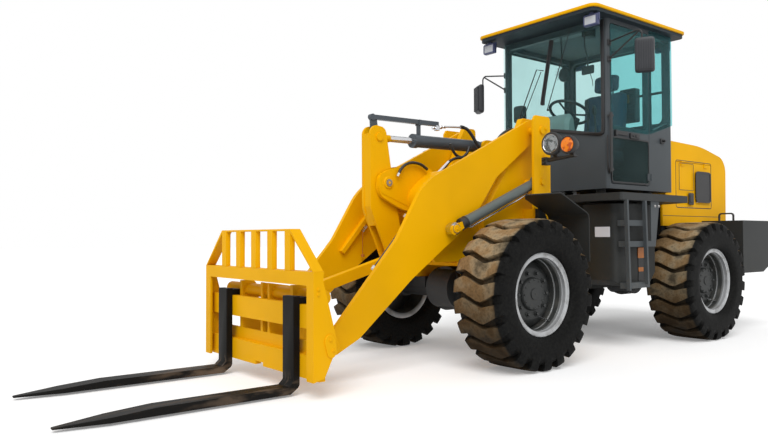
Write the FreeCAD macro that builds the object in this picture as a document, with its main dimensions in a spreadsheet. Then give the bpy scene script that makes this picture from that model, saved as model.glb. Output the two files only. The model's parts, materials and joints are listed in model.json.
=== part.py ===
import FreeCAD, Part
import math
import os
import Sketcher
from FreeCAD import Placement, Rotation, Vector

# A compact articulated wheel loader with a fork carriage.
# Lengths are in millimetres. The sheet's X runs forward from the middle of the wheelbase,
# Y to the machine's left and Z up from the ground; every sub-part's Placement then moves it
# so that the model's origin lies on the ground under the middle of its overall length.

doc = FreeCAD.newDocument("WheelLoader")
sheet = doc.addObject("Spreadsheet::Sheet", "Sizes")


class Size:
    """A size worked out from the sheet: its value now, and its expression."""

    def __init__(self, value, text):
        self.value = float(value)
        self.text = text

    def __add__(self, other):
        other = size(other)
        return Size(self.value + other.value, f"({self.text} + {other.text})")

    def __sub__(self, other):
        other = size(other)
        return Size(self.value - other.value, f"({self.text} - {other.text})")

    def __mul__(self, other):
        other = size(other)
        return Size(self.value * other.value, f"({self.text} * {other.text})")

    def __truediv__(self, other):
        other = size(other)
        return Size(self.value / other.value, f"({self.text} / {other.text})")

    def __radd__(self, other):
        return size(other) + self

    def __rsub__(self, other):
        return size(other) - self

    def __rmul__(self, other):
        return size(other) * self

    def __neg__(self):
        return Size(-self.value, f"(-1 * {self.text})")


def size(number):
    return number if isinstance(number, Size) else Size(number, f"({float(number):.6g})")


def reach(dx, dz):
    """Distance between two pins from its two components."""
    return Size(math.hypot(dx.value, dz.value), f"sqrt({dx.text} ^ 2 + {dz.text} ^ 2)")


def heading(dx, dz):
    """Angle of a line above the level, in degrees."""
    return Size(math.degrees(math.atan2(dz.value, dx.value)), f"(atan2({dz.text}; {dx.text}) / 1 deg)")


class Dimensions:
    """Each driving dimension is one aliased cell of the sheet and one attribute here."""

    row = 0

    def add(self, cells):
        for name, number in cells.items():
            self.row += 1
            sheet.set(f"A{self.row}", name)
            sheet.set(f"B{self.row}", f"{number}")
            sheet.setAlias(f"B{self.row}", name)
            setattr(self, name, Size(number, f"Sizes.{name}"))


d = Dimensions()
overallSizes = {
    # overall
    "wheelbase": 2380, "track": 1508, "forkTipX": 4240, "tailX": -2560,
    # pins of the lift arms and of the tilt linkage
    "armPivotX": 690, "armPivotZ": 1767, "armTipX": 2592, "armTipZ": 241,
    "liftBaseX": 690, "liftBaseZ": 1362, "liftEyeX": 1592, "liftEyeZ": 990,
    "crankX": 1899, "crankZ": 1325, "tiltEyeX": 1951, "tiltEyeZ": 1660,
    "linkRearX": 1799, "linkRearZ": 765, "linkFrontX": 2617, "linkFrontZ": 535,
    "tiltBaseX": 832, "tiltBaseZ": 1675,
    "runningGap": 0.05, "slidingGap": 0.3, "sideGap": 2,
}
d.add(overallSizes)
front = d.wheelbase / 2
shift = -(d.forkTipX + d.tailX) / 2


# ---------------------------------------------------------------- building blocks

def bind(item, prop, value):
    item.setExpression(prop, size(value).text)


def newBody(label, x=0, y=0, z=0, tilt=None, axis=Vector(0, -1, 0)):
    """A sub-part whose own origin is at x, y, z and whose X axis is tilted up by an angle."""
    body = doc.addObject("PartDesign::Body", label)
    body.Label = label
    body.Placement = Placement(Vector(), Rotation(axis, size(tilt or 0).value))
    if tilt is not None:
        bind(body, "Placement.Rotation.Angle", tilt)
    bind(body, "Placement.Base.x", x + shift)
    bind(body, "Placement.Base.y", y)
    bind(body, "Placement.Base.z", z)
    return body


def newSketch(body, plane, level):
    """A sketch parallel to one of the body's own origin planes, at a level along X, Y or Z."""
    sketch = body.newObject("Sketcher::SketchObject", f"{body.Label}_sketch")
    role = {"X": "YZ_Plane", "Y": "XZ_Plane", "Z": "XY_Plane"}[plane]
    support = next(f for f in body.Origin.OriginFeatures if f.Role == role)
    sketch.AttachmentSupport = [(support, "")]
    sketch.MapMode = "FlatFace"
    bind(sketch, "AttachmentOffset.Base.z", -size(level) if plane == "Y" else level)
    return sketch


def pin(sketch, geometry, point, a, b):
    """Fix one point of a sketch at the coordinates a, b."""
    for kind, value in (("DistanceX", size(a)), ("DistanceY", size(b))):
        index = sketch.addConstraint(Sketcher.Constraint(kind, -1, 1, geometry, point, value.value))
        sketch.setExpression(f"Constraints[{index}]", value.text)


def drawOutline(sketch, points):
    """A closed outline through corner points a, b or a, b, radius."""
    corners = [(size(p[0]), size(p[1]), size(p[2]) if len(p) > 2 else None) for p in points]
    count = len(corners)
    spots = [Vector(a.value, b.value, 0) for a, b, _ in corners]
    joints = []
    for i, (a, b, radius) in enumerate(corners):
        here = spots[i]
        if radius is None:
            joints.append((here, here, None))
            continue
        back = (spots[i - 1] - here).normalize()
        ahead = (spots[(i + 1) % count] - here).normalize()
        half = back.getAngle(ahead) / 2
        run = radius.value / math.tan(half)
        centre = here + (back + ahead).normalize() * (radius.value / math.sin(half))
        joints.append((here + back * run, here + ahead * run, centre))
    lines = []
    for i in range(count):
        start, end = joints[i][1], joints[(i + 1) % count][0]
        lines.append(sketch.addGeometry(Part.LineSegment(start, end)))
    for i, (a, b, radius) in enumerate(corners):
        before, after = lines[i - 1], lines[i]
        if radius is None:
            sketch.addConstraint(Sketcher.Constraint("Coincident", before, 2, after, 1))
            pin(sketch, after, 1, a, b)
            continue
        entry, leave, centre = joints[i]
        turn = (entry - spots[i]).cross(leave - spots[i]).z
        first, last = (leave, entry) if turn > 0 else (entry, leave)
        angles = [math.atan2(p.y - centre.y, p.x - centre.x) for p in (first, last)]
        circle = Part.Circle(centre, Vector(0, 0, 1), radius.value)
        arc = sketch.addGeometry(Part.ArcOfCircle(circle, *angles))
        entryEnd, leaveEnd = (2, 1) if turn > 0 else (1, 2)
        corner = sketch.addGeometry(Part.Point(spots[i]), True)
        pin(sketch, corner, 1, a, b)
        sketch.addConstraint(Sketcher.Constraint("PointOnObject", corner, 1, before))
        sketch.addConstraint(Sketcher.Constraint("PointOnObject", corner, 1, after))
        sketch.addConstraint(Sketcher.Constraint("Tangent", before, 2, arc, entryEnd))
        sketch.addConstraint(Sketcher.Constraint("Tangent", arc, leaveEnd, after, 1))
        index = sketch.addConstraint(Sketcher.Constraint("Radius", arc, radius.value))
        sketch.setExpression(f"Constraints[{index}]", radius.text)


def drawCircle(sketch, a, b, radius):
    a, b, radius = size(a), size(b), size(radius)
    centre = Vector(a.value, b.value, 0)
    circle = sketch.addGeometry(Part.Circle(centre, Vector(0, 0, 1), radius.value))
    pin(sketch, circle, 3, a, b)
    index = sketch.addConstraint(Sketcher.Constraint("Radius", circle, radius.value))
    sketch.setExpression(f"Constraints[{index}]", radius.text)


def extrude(body, kind, plane, low, high, draw, *args):
    low, high = size(low), size(high)
    sketch = newSketch(body, plane, (low + high) / 2)
    draw(sketch, *args)
    feature = body.newObject(kind, f"{body.Label}_{kind[12:].lower()}")
    feature.Profile = sketch
    feature.SideType = "Symmetric"
    bind(feature, "Length", high - low)
    return feature


def plate(body, plane, low, high, points):
    """A plate with the given outline, between two levels along X, Y or Z."""
    return extrude(body, "PartDesign::Pad", plane, low, high, drawOutline, points)


def opening(body, plane, low, high, points):
    return extrude(body, "PartDesign::Pocket", plane, low, high, drawOutline, points)


def hollow(body, x0, x1, y0, y1, z0, z1):
    return opening(body, "Z", z0, z1, corners(x0, x1, y0, y1))


def disc(body, plane, low, high, a, b, radius):
    return extrude(body, "PartDesign::Pad", plane, low, high, drawCircle, a, b, radius)


def bore(body, plane, low, high, a, b, radius):
    return extrude(body, "PartDesign::Pocket", plane, low, high, drawCircle, a, b, radius)


def corners(a0, a1, b0, b1, radius=None):
    """The four corners of a rectangle, rounded if a radius is given."""
    spots = [(a0, b0), (a1, b0), (a1, b1), (a0, b1)]
    return [(*s, radius) for s in spots] if radius is not None else spots


def block(body, x0, x1, y0, y1, z0, z1, radius=None):
    return plate(body, "Z", z0, z1, corners(x0, x1, y0, y1, radius))


def turned(body, points, axis="H_Axis", plane="Y"):
    """A solid of revolution about the sketch's own horizontal or vertical axis."""
    sketch = newSketch(body, plane, 0)
    drawOutline(sketch, points)
    feature = body.newObject("PartDesign::Revolution", f"{body.Label}_revolution")
    feature.Profile = sketch
    feature.ReferenceAxis = (sketch, [axis])
    feature.Angle = 360
    return feature


def sides(low, high):
    """The same pair of Y levels on the left and on the right."""
    return ((size(low), size(high)), (-size(high), -size(low)))


def band(points, thickness):
    """The outline of a bent sheet: the points given and their offset to the right of the path."""
    spots = [Vector(size(p[0]).value, size(p[1]).value, 0) for p in points]
    inner = []
    for i, here in enumerate(spots):
        runs = []
        if i > 0:
            runs.append((here - spots[i - 1]).normalize())
        if i < len(spots) - 1:
            runs.append((spots[i + 1] - here).normalize())
        normals = [Vector(r.y, -r.x, 0) for r in runs]
        mitre = normals[0] + normals[-1]
        mitre = mitre * (1 / mitre.dot(normals[0]))
        point = [points[i][0] + thickness * mitre.x, points[i][1] + thickness * mitre.y]
        if len(points[i]) > 2:
            bend = points[i][2]
            side = runs[0].cross(runs[-1]).z
            point.append(bend + thickness if side > 0 else bend - thickness)
        inner.append(tuple(point))
    return list(points) + inner[::-1]


# ---------------------------------------------------------------- wheels

wheelSizes = {
    "tyreRadius": 530, "tyreWidth": 410, "sidewallRadius": 500,
    "rimBarrelRadius": 256, "rimFlangeRadius": 292, "rimWidth": 330, "rimWall": 10,
    "hubRadius": 118, "hubFace": 88, "wheelDish": 62, "axleEndRadius": 95, "axleEndGap": 6,
    "grooveDepth": 25, "grooveWidth": 34, "grooveSlant": 30,
}
d.add(wheelSizes)
lugCount = 22
half = d.tyreWidth / 2
rimHalf = d.rimWidth / 2


def makeWheel(end, side):
    """One wheel: a tyre and the dished rim with its planetary hub, both turned about Y."""
    name = ("front" if end > 0 else "rear") + ("_left" if side > 0 else "_right")
    place = (front * end, d.track * (0.5 * side), d.tyreRadius)
    tyre = newBody(f"tyre_{name}", *place)
    bead = rimHalf - d.rimWall - 2
    section = [
        (bead - 6, d.rimBarrelRadius), (bead - 6, d.rimFlangeRadius), (bead + 16, d.rimFlangeRadius + 12),
        (half - 6, d.rimFlangeRadius + 60, 40), (half, d.sidewallRadius - 80, 60),
        (half - 12, d.sidewallRadius), (half - 40, d.tyreRadius - 8), (half - 90, d.tyreRadius),
    ]
    mirrored = [(-size(p[0]), *p[1:]) for p in section[::-1]]
    turned(tyre, section + mirrored, plane="X")
    # one wavy groove across the tread, repeated round the axle so that broad lugs are left
    wave = [(0, -half - 1), (-d.grooveSlant, -100), (d.grooveSlant, 60), (-d.grooveSlant * 0.4, half + 1)]
    cut = d.grooveWidth / 2
    groove = opening(tyre, "Z", d.tyreRadius - d.grooveDepth, d.tyreRadius + d.grooveDepth,
                     [(x - cut, y) for x, y in wave[::-1]] + [(x + cut, y) for x, y in wave])
    lugs = tyre.newObject("PartDesign::PolarPattern", f"{tyre.Label}_lugs")
    lugs.Originals = [groove]
    lugs.Axis = (next(f for f in tyre.Origin.OriginFeatures if f.Role == "Y_Axis"), [""])
    lugs.Angle = 360
    lugs.Occurrences = lugCount
    tyre.Tip = lugs

    rim = newBody(f"rim_{name}", *place)
    barrel = d.rimBarrelRadius
    inner = barrel - d.rimWall
    out = size(side)
    profile = [
        (out * rimHalf, d.rimFlangeRadius), (out * (rimHalf - d.rimWall), d.rimFlangeRadius),
        (out * (rimHalf - d.rimWall), barrel), (-out * (rimHalf - d.rimWall), barrel),
        (-out * (rimHalf - d.rimWall), d.rimFlangeRadius), (-out * rimHalf, d.rimFlangeRadius),
        (-out * rimHalf, inner), (out * 12, inner),
        (out * 8, inner - 20), (out * (d.wheelDish - 14), d.hubRadius + 60),
        (out * (d.wheelDish - 18), 0), (out * d.hubFace, 0), (out * d.hubFace, d.hubRadius - 30),
        (out * (d.hubFace - 12), d.hubRadius), (out * d.wheelDish, d.hubRadius),
        (out * d.wheelDish, d.hubRadius + 62), (out * 30, inner - 14), (out * 40, inner),
        (out * rimHalf, inner + 6),
    ]
    turned(rim, profile, plane="X")


for end in (1, -1):
    for side in (1, -1):
        makeWheel(end, side)


# ---------------------------------------------------------------- front frame

frontSizes = {
    "frameHalf": 300, "framePlate": 30, "towerInnerLow": 320, "towerInnerHigh": 350,
    "towerOuterLow": 492, "towerOuterHigh": 512, "towerTopZ": 1878, "towerRearX": 590, "towerFrontX": 790,
    "noseX": 1680, "noseZ": 750, "earTopZ": 900, "earLowZ": 520, "earThickness": 40, "kingPinRadius": 32,
    "axleTube": 78, "diffRadius": 172, "shaftRise": 100, "shaftRadius": 34, "pinRadius": 26,
    "smallPinRadius": 22,
    "steerRadiusX": 50, "steerRadiusY": 245, "steerBaseX": -700, "steerBaseY": 262, "steerZ": 690,
    "steerEyeWidth": 40,
}
d.add(frontSizes)
armPin = (d.armPivotX, d.armPivotZ)
liftPin = (d.liftBaseX, d.liftBaseZ)
tiltPin = (d.tiltBaseX, d.tiltBaseZ)

saddleZ = d.tyreRadius + d.axleTube + 4
shaftZ = d.tyreRadius + d.shaftRise

chassis = newBody("front_chassis")
for low, high in sides(d.frameHalf - d.framePlate, d.frameHalf):
    plate(chassis, "Y", low, high, [
        (160, 430), (front - 210, 430), (front - 150, saddleZ, 60), (front + 150, saddleZ, 60),
        (front + 200, d.noseZ),
        (d.noseX, d.noseZ, 30), (1520, 960, 60), (1160, 1120, 80), (900, 1500, 60), (820, 1560),
        (600, 1560, 60), (520, 1080, 80), (160, 960),
    ])
for low, high in sides(d.frameHalf - 1, d.towerInnerHigh):
    plate(chassis, "Y", low, high, [
        (d.towerRearX, 900), (1180, 900), (1180, 1080, 60), (930, 1440, 80),
        (d.towerFrontX - 10, d.towerTopZ - 90, 30),
        (d.towerFrontX - 60, d.towerTopZ, 20), (d.towerRearX + 10, d.towerTopZ, 30),
    ])
for low, high in sides(d.towerOuterLow, d.towerOuterHigh):
    plate(chassis, "Y", low, high, [
        (d.towerRearX, 980), (d.towerFrontX - 30, 980), (d.towerFrontX, 1180, 60),
        (d.towerFrontX, d.towerTopZ - 36, 12), (d.towerFrontX - 24, d.towerTopZ, 12),
        (d.towerRearX, d.towerTopZ, 30),
    ])
for low, high in sides(d.towerInnerHigh - 1, d.towerOuterLow + 1):
    block(chassis, d.towerRearX, d.towerFrontX - 60, low, high, 985, 1150)
# cross plates between the two side plates
inside = d.frameHalf - d.framePlate + 1
block(chassis, 600, 640, -inside, inside, 960, 1540)
block(chassis, 160, 200, -inside, inside, 430, 960)
block(chassis, 200, 1000, -inside, inside, 930, 960)
block(chassis, front - 150, front + 150, -inside, inside, 712, 737)
bore(chassis, "X", 159, 201, 0, shaftZ, d.shaftRadius + 12)
# articulation ears
for level in (d.earTopZ, d.earLowZ):
    plate(chassis, "Z", level - d.earThickness / 2, level + d.earThickness / 2, [
        (-70, -70, 66), (60, -80), (170, -inside), (300, -inside), (300, inside), (170, inside), (60, 80),
        (-70, 70, 66),
    ])
    bore(chassis, "Z", level - d.earThickness, level + d.earThickness, 0, 0, d.kingPinRadius + d.runningGap)
# steering brackets: two flat lugs on each side, above and below the rod's eye
for side in (1, -1):
    for offset in (-1, 1):
        inner = offset * (d.steerEyeWidth / 2 + d.sideGap)
        low = d.steerZ + (inner if offset > 0 else inner - 18)
        high = low + 18
        outline = [
            (d.steerRadiusX - 42, side * (d.steerRadiusY + 44), 36),
            (d.steerRadiusX + 60, side * (d.steerRadiusY + 44), 30),
            (220, side * (d.frameHalf - 1)), (220, side * (d.frameHalf - d.framePlate)),
            (165, side * (d.frameHalf - d.framePlate)), (110, side * (d.steerRadiusY - 60)),
            (d.steerRadiusX - 42, side * (d.steerRadiusY - 44), 36)]
        plate(chassis, "Z", low, high, outline[::side])
        disc(chassis, "Z", low + 1, high + 12 * offset if offset > 0 else high, d.steerRadiusX,
             side * d.steerRadiusY,
             d.smallPinRadius)
# lugs for the tilt cylinder, on a deck between the tower plates
for low, high in sides(36, 64):
    plate(chassis, "Y", low, high, [
        (620, 1470), (900, 1470), (d.tiltBaseX + 48, d.tiltBaseZ - 40, 60),
        (d.tiltBaseX + 48, d.tiltBaseZ + 50, 46),
        (d.tiltBaseX - 60, d.tiltBaseZ + 50, 46), (620, 1600, 20),
    ])
block(chassis, 600, 900, -inside, inside, 1440, 1472)
# pins of the arms, the lift cylinders and the tilt cylinder, carried by the tower
for low, high in sides(d.towerInnerLow, d.towerOuterHigh + 14):
    disc(chassis, "Y", low, high, *armPin, d.pinRadius + 6)
    disc(chassis, "Y", low, high, *liftPin, d.pinRadius)
disc(chassis, "Y", -76, 76, *tiltPin, d.smallPinRadius)

axle = newBody("front_axle")


def makeAxle(body, at):
    """A rigid drive axle: tapered tubes, a round differential and the hub carriers."""
    gap = d.axleEndGap
    reachY = d.track / 2 - rimHalf + 40
    disc(body, "Y", -reachY, reachY, at, d.tyreRadius, d.axleTube)
    for low, high in sides(reachY - 90, d.track / 2 - 18 + d.wheelDish - 18 - gap - 30):
        disc(body, "Y", low, high, at, d.tyreRadius, d.axleEndRadius)
    disc(body, "Y", -120, 120, at, d.tyreRadius, d.diffRadius - 12)
    disc(body, "X", at - 60, at + 60, 0, d.tyreRadius, d.diffRadius)


makeAxle(axle, front)
for low, high in sides(d.frameHalf - d.framePlate - 60, d.frameHalf + 60):
    plate(axle, "Y", low, high, corners(front - 90, front + 90, d.tyreRadius, saddleZ))
disc(axle, "X", 110, front - 50, 0, shaftZ, d.shaftRadius)

fenderSizes = {
    "fenderIn": 520, "fenderOut": 900, "fenderThickness": 8, "fenderRearX": 625,
}
d.add(fenderSizes)
fenders = newBody("front_fenders")
for low, high in sides(d.fenderIn, d.fenderOut):
    plate(fenders, "Y", low, high, band([
        (d.fenderRearX - 4, 745), (d.fenderRearX, 1100, 60), (960, 1250, 80),
        (front + 160, 1220)], d.fenderThickness))
# the front inner corners are cut away beside the lift cylinders
for side in (1, -1):
    outline = [(906, side * (d.fenderIn - 1)), (front + 180, side * (d.fenderIn - 1)),
               (front + 180, side * (d.fenderOut + 1)), (front + 156, side * (d.fenderOut + 1))]
    opening(fenders, "Z", 1150, 1300, outline[::side])
for low, high in sides(d.towerOuterHigh, d.fenderIn + 30):
    plate(fenders, "Y", low, high, [(660, 1010), (780, 1010), (780, 1150), (700, 1110)])

lampSizes = {
    "lampX": 800, "lampY": 705, "lampZ": 1630, "lampRadius": 84, "markerY": 856, "markerZ": 1608,
    "markerRadius": 60,
    "lampRim": 12,
}
d.add(lampSizes)
lamps = newBody("headlamps")
for side in (1, -1):
    for y, z, radius in ((d.lampY, d.lampZ, d.lampRadius), (d.markerY, d.markerZ, d.markerRadius)):
        disc(lamps, "X", d.lampX - 65, d.lampX - 9, side * y, z, radius * 0.72)
        disc(lamps, "X", d.lampX - 10, d.lampX + 30, side * y, z, radius)
        disc(lamps, "X", d.lampX + 29, d.lampX + 35, side * y, z, radius - d.lampRim)
        block(lamps, d.lampX - 50, d.lampX - 20, side * y - 20, side * y + 20, 1520, z)
    low, high = sides(d.towerOuterHigh, d.markerY + 30)[0 if side > 0 else 1]
    block(lamps, d.lampX - 60, d.lampX - 10, low, high, 1500, 1530)
    low, high = sides(d.towerOuterHigh, d.towerOuterHigh + 50)[0 if side > 0 else 1]
    block(lamps, d.lampX - 60, d.lampX - 10, low, high, 1478, 1540)

# ---------------------------------------------------------------- lift arms and tilt linkage

armSizes = {
    "armInner": 365, "armOuter": 400, "crankInner": 32, "crankOuter": 54, "earInner": 60, "earOuter": 96,
    "crossTubeX": 1640, "crossTubeZ": 1215, "crossTubeRadius": 62, "linkHalf": 28,
}
d.add(armSizes)
boom = newBody("boom")
tipX, tipZ = d.armTipX, d.armTipZ
for low, high in sides(d.armInner, d.armOuter):
    plate(boom, "Y", low, high, [
        (d.armPivotX - 85, d.armPivotZ + 75, 80), (d.armPivotX + 5, d.armPivotZ + 95, 80),
        (d.crankX - 81, d.crankZ - 10, 450), (d.crankX + 171, d.crankZ - 412, 300),
        (tipX + 8, tipZ + 90, 40), (tipX + 54, tipZ + 40, 30), (tipX + 50, tipZ - 54, 48),
        (tipX - 30, tipZ - 48, 60),
        (tipX - 207, tipZ + 37, 120), (d.liftEyeX + 350, d.liftEyeZ - 350, 200),
        (d.liftEyeX + 40, d.liftEyeZ - 135, 60),
        (d.liftEyeX - 110, d.liftEyeZ - 40, 50), (1260, 1165, 120), (1090, 1385, 160),
        (d.armPivotX + 20, d.armPivotZ - 110, 90),
        (d.armPivotX - 85, d.armPivotZ - 70, 70),
    ])
    bore(boom, "Y", low - 1, high + 1, *armPin, d.pinRadius + 6 + d.runningGap)
    bore(boom, "Y", low - 1, high + 1, tipX, tipZ, d.pinRadius + d.runningGap)
disc(boom, "Y", -d.armInner - 1, d.armInner + 1, d.crossTubeX, d.crossTubeZ, d.crossTubeRadius)
for low, high in sides(d.earInner, d.earOuter):
    plate(boom, "Y", low, high, [
        (d.crankX + 85, d.crankZ + 40, 80), (d.crankX + 30, d.crankZ + 90, 80),
        (d.crossTubeX, d.crossTubeZ + 95, 60),
        (d.crossTubeX - 60, d.crossTubeZ, 50), (d.crossTubeX + 20, d.crossTubeZ - 75, 50),
        (d.crankX + 80, d.crankZ - 70, 60),
    ])
    bore(boom, "Y", low - 1, high + 1, d.crankX, d.crankZ, d.pinRadius + d.runningGap)

crankPin = newBody("bellcrank_pin")
disc(crankPin, "Y", -d.earOuter - 14, d.earOuter + 14, d.crankX, d.crankZ, d.pinRadius)

crank = newBody("bellcrank")
for low, high in sides(d.crankInner, d.crankOuter):
    plate(crank, "Y", low, high, [
        (d.tiltEyeX + 78, d.tiltEyeZ + 40, 60), (d.tiltEyeX + 40, d.tiltEyeZ + 85, 50),
        (d.tiltEyeX - 62, d.tiltEyeZ + 70, 55),
        (d.crankX - 52, d.crankZ + 150, 100), (d.crankX - 80, d.crankZ, 100),
        (d.linkRearX - 52, d.linkRearZ + 200, 150),
        (d.linkRearX - 62, d.linkRearZ - 40, 55), (d.linkRearX + 30, d.linkRearZ - 65, 55),
        (d.crankX + 20, d.crankZ - 420, 200), (d.crankX + 128, d.crankZ - 190, 200),
    ])
    bore(crank, "Y", low - 1, high + 1, d.crankX, d.crankZ, d.pinRadius + d.runningGap)
    bore(crank, "Y", low - 1, high + 1, d.linkRearX, d.linkRearZ, d.smallPinRadius + d.runningGap)
    disc(crank, "Y", low, high + 12 if low.value > 0 else high, d.tiltEyeX, d.tiltEyeZ, d.smallPinRadius + 8)
inner = d.crankInner + 1
plate(crank, "Y", -inner, inner, [
    (d.crankX + 132, d.tiltEyeZ + 20), (d.crankX + 112, d.tiltEyeZ + 20), (d.crankX + 105, d.crankZ - 150),
    (d.crankX + 62, d.crankZ - 300), (d.crankX + 80, d.crankZ - 310), (d.crankX + 122, d.crankZ - 170),
])

linkPin = newBody("link_pin")
disc(linkPin, "Y", -d.crankOuter - 14, d.crankOuter + 14, d.linkRearX, d.linkRearZ, d.smallPinRadius)

linkRun = reach(d.linkFrontX - d.linkRearX, d.linkFrontZ - d.linkRearZ)
linkTilt = heading(d.linkFrontX - d.linkRearX, d.linkFrontZ - d.linkRearZ)
link = newBody("tilt_link", d.linkRearX, 0, d.linkRearZ, linkTilt)
linkWidth = d.linkHalf
plate(link, "Y", -linkWidth, linkWidth, corners(0, linkRun, -38, 42))
disc(link, "Y", -linkWidth, linkWidth, 0, 0, 52)
disc(link, "Y", -linkWidth, linkWidth, linkRun, 0, 46)
bore(link, "Y", -linkWidth - 1, linkWidth + 1, 0, 0, d.smallPinRadius + d.runningGap)

# ---------------------------------------------------------------- fork carriage

carriageSizes = {
    "carriageHalf": 715, "faceStep": 43, "barX": 2893, "barDepth": 42, "topRailZ": 735, "topRailHeight": 80,
    "midBarTop": 538, "midBarLow": 400, "lowBarTop": 245, "lowBarLow": 110, "guardZ": 982,
    "guardHalf": 460, "guardDepth": 70,
    "forkY": 438, "forkWidth": 125, "forkThickness": 45, "forkTopZ": 585, "forkUnderZ": 14,
}
d.add(carriageSizes)
carriageX = d.barX + d.faceStep
pins = newBody("coupler_pins")
for low, high in sides(310, d.armOuter + 14):
    disc(pins, "Y", low, high, tipX, tipZ, d.pinRadius)

coupler = newBody("coupler")
backX = d.barX - d.barDepth
for low, high in sides(318, 350):
    plate(coupler, "Y", low, high, [
        (tipX - 62, tipZ + 40, 60), (tipX - 62, tipZ - 60, 55), (tipX + 40, tipZ - 90, 60), (backX, 110),
        (backX, 640), (backX - 110, 640, 50), (backX - 130, 500, 60), (tipX + 60, tipZ + 90, 60),
    ])
    bore(coupler, "Y", low - 1, high + 1, tipX, tipZ, d.pinRadius + d.runningGap)
for low, high in sides(d.linkHalf + 4, d.linkHalf + 30):
    plate(coupler, "Y", low, high, [
        (d.linkFrontX - 60, d.linkFrontZ + 60, 55), (d.linkFrontX - 60, d.linkFrontZ - 60, 55),
        (backX, 200), (backX, 640),
    ])
    disc(coupler, "Y", low, high + 10 if low.value > 0 else high, d.linkFrontX, d.linkFrontZ,
         d.smallPinRadius + 8)
disc(coupler, "Y", -600, 600, backX - 66, 575, 44)
block(coupler, backX - 20, backX, -600, 600, 130, 320)

carriage = newBody("fork_carriage")
edge = d.carriageHalf
for low, high in sides(edge - 20, edge):
    plate(carriage, "Y", low, high, [
        (carriageX, d.lowBarLow), (carriageX, d.topRailZ), (carriageX - 68, d.topRailZ),
        (carriageX - 68, 675),
        (carriageX - 158, 345, 20), (carriageX - 136, 250, 20), (carriageX - 76, 130, 20),
    ])
for low, high in sides(edge - 75, edge - 19):
    block(carriage, carriageX - 16, carriageX, low, high, d.lowBarLow, d.topRailZ)
wide = edge - 10
block(carriage, carriageX - 20, carriageX, -wide, wide, d.topRailZ - d.topRailHeight, d.topRailZ)
block(carriage, carriageX - 80, carriageX, -wide, wide, d.topRailZ - 14, d.topRailZ)
block(carriage, backX, d.barX, -wide, wide, d.midBarLow, d.midBarTop)
block(carriage, backX, d.barX, -wide, wide, d.lowBarLow, d.lowBarTop)
opening(carriage, "X", backX - 1, d.barX + 1, [
    (-50, d.lowBarLow - 10), (50, d.lowBarLow - 10), (50, d.lowBarLow + 24), (-50, d.lowBarLow + 24)])

guard = newBody("load_guard")
g0, g1 = carriageX - d.guardDepth, carriageX
block(guard, g0, g1, -d.guardHalf, d.guardHalf, d.guardZ - 12, d.guardZ)
for side in (1, -1):
    outline = [(side * d.guardHalf, d.guardZ), (side * (d.guardHalf - 14), d.guardZ - 12),
               (side * (edge - 16), d.topRailZ), (side * edge, d.topRailZ)]
    plate(guard, "X", g0, g1, outline[::side])
for i in range(5):
    y = (i - 2) * (d.guardHalf - 35) / 2
    block(guard, g1 - 14, g1, y - 33, y + 33, d.topRailZ, d.guardZ - 6)

for side, name in ((1, "left"), (-1, "right")):
    fork = newBody(f"fork_{name}", 0, side * d.forkY, 0)
    back = d.barX + 1
    face = back + d.forkThickness
    low = d.forkUnderZ
    halfWide = d.forkWidth / 2
    plate(fork, "Y", -halfWide, halfWide, [
        (back, d.forkTopZ), (back, low + 40, 38), (back + 60, low), (d.forkTipX - 500, low),
        (d.forkTipX, low + 1),
        (d.forkTipX, low + 11), (d.forkTipX - 500, low + d.forkThickness), (face + 30, low + d.forkThickness),
        (face, low + d.forkThickness + 30), (face, d.forkTopZ),
    ])
    block(fork, back - d.barDepth - 18, back + 1, -halfWide, halfWide, d.midBarTop + 1, d.midBarTop + 40)
    block(fork, back - d.barDepth - 18, back - d.barDepth - 4, -halfWide, halfWide, d.midBarTop - 30,
          d.midBarTop + 2)
    opening(fork, "Z", low - 1, low + d.forkThickness + 1, [
        (d.forkTipX - 260, halfWide), (d.forkTipX + 1, halfWide - 46), (d.forkTipX + 1, halfWide + 1)])
    opening(fork, "Z", low - 1, low + d.forkThickness + 1, [
        (d.forkTipX - 260, -halfWide), (d.forkTipX + 1, -halfWide - 1), (d.forkTipX + 1, -halfWide + 46)])

# ---------------------------------------------------------------- hydraulic cylinders

cylinderSizes = {
    "liftY": 446, "liftBarrelRadius": 38.5, "liftRodRadius": 23, "liftHeadAt": 849, "liftEyeRadius": 46,
    "liftEyeHalf": 24,
    "tiltBarrelRadius": 48, "tiltRodRadius": 25, "tiltHeadAt": 760, "tiltRodStart": 310, "tiltEyeRadius": 46,
    "eyeNeck": 14, "headCollar": 6, "liftCollar": 2.5,
    "indicatorRise": 148, "indicatorHalf": 17, "indicatorRearX": 1325, "indicatorEyeX": 1975, "guideX": 1525,
    "steerBarrelRadius": 34, "steerRodRadius": 17, "steerHeadAt": 540, "steerRodStart": 230,
    "steerEyeRadius": 30,
}
d.add(cylinderSizes)


def makeBarrel(body, plane, length, radius, collar, rodRadius, eyeRadius, eyeHalf, pinHole):
    """A cylinder's barrel along X, with its base eye on the origin and its bore for the rod."""
    rodBore = rodRadius + d.slidingGap
    start = eyeRadius + d.eyeNeck
    turned(body, [
        (0, 0), (0, eyeHalf - 4), (start, eyeHalf - 4), (start, radius), (length - 40, radius),
        (length - 40, radius + collar), (length, radius + collar), (length, rodBore), (start + 20, rodBore),
        (start + 20, 0),
    ])
    disc(body, plane, -eyeHalf, eyeHalf, 0, 0, eyeRadius)
    bore(body, plane, -eyeHalf - 1, eyeHalf + 1, 0, 0, pinHole + d.runningGap)


def makeRod(body, plane, length, inside, radius, eyeRadius, eyeHalf):
    """A piston rod along X whose eye carries its own pin, with the eye at the pin's distance."""
    turned(body, [(inside, 0), (inside, radius), (length - eyeRadius + 8, radius), (length - eyeRadius + 8, 0)])
    disc(body, plane, -eyeHalf, eyeHalf, length, 0, eyeRadius)


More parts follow.
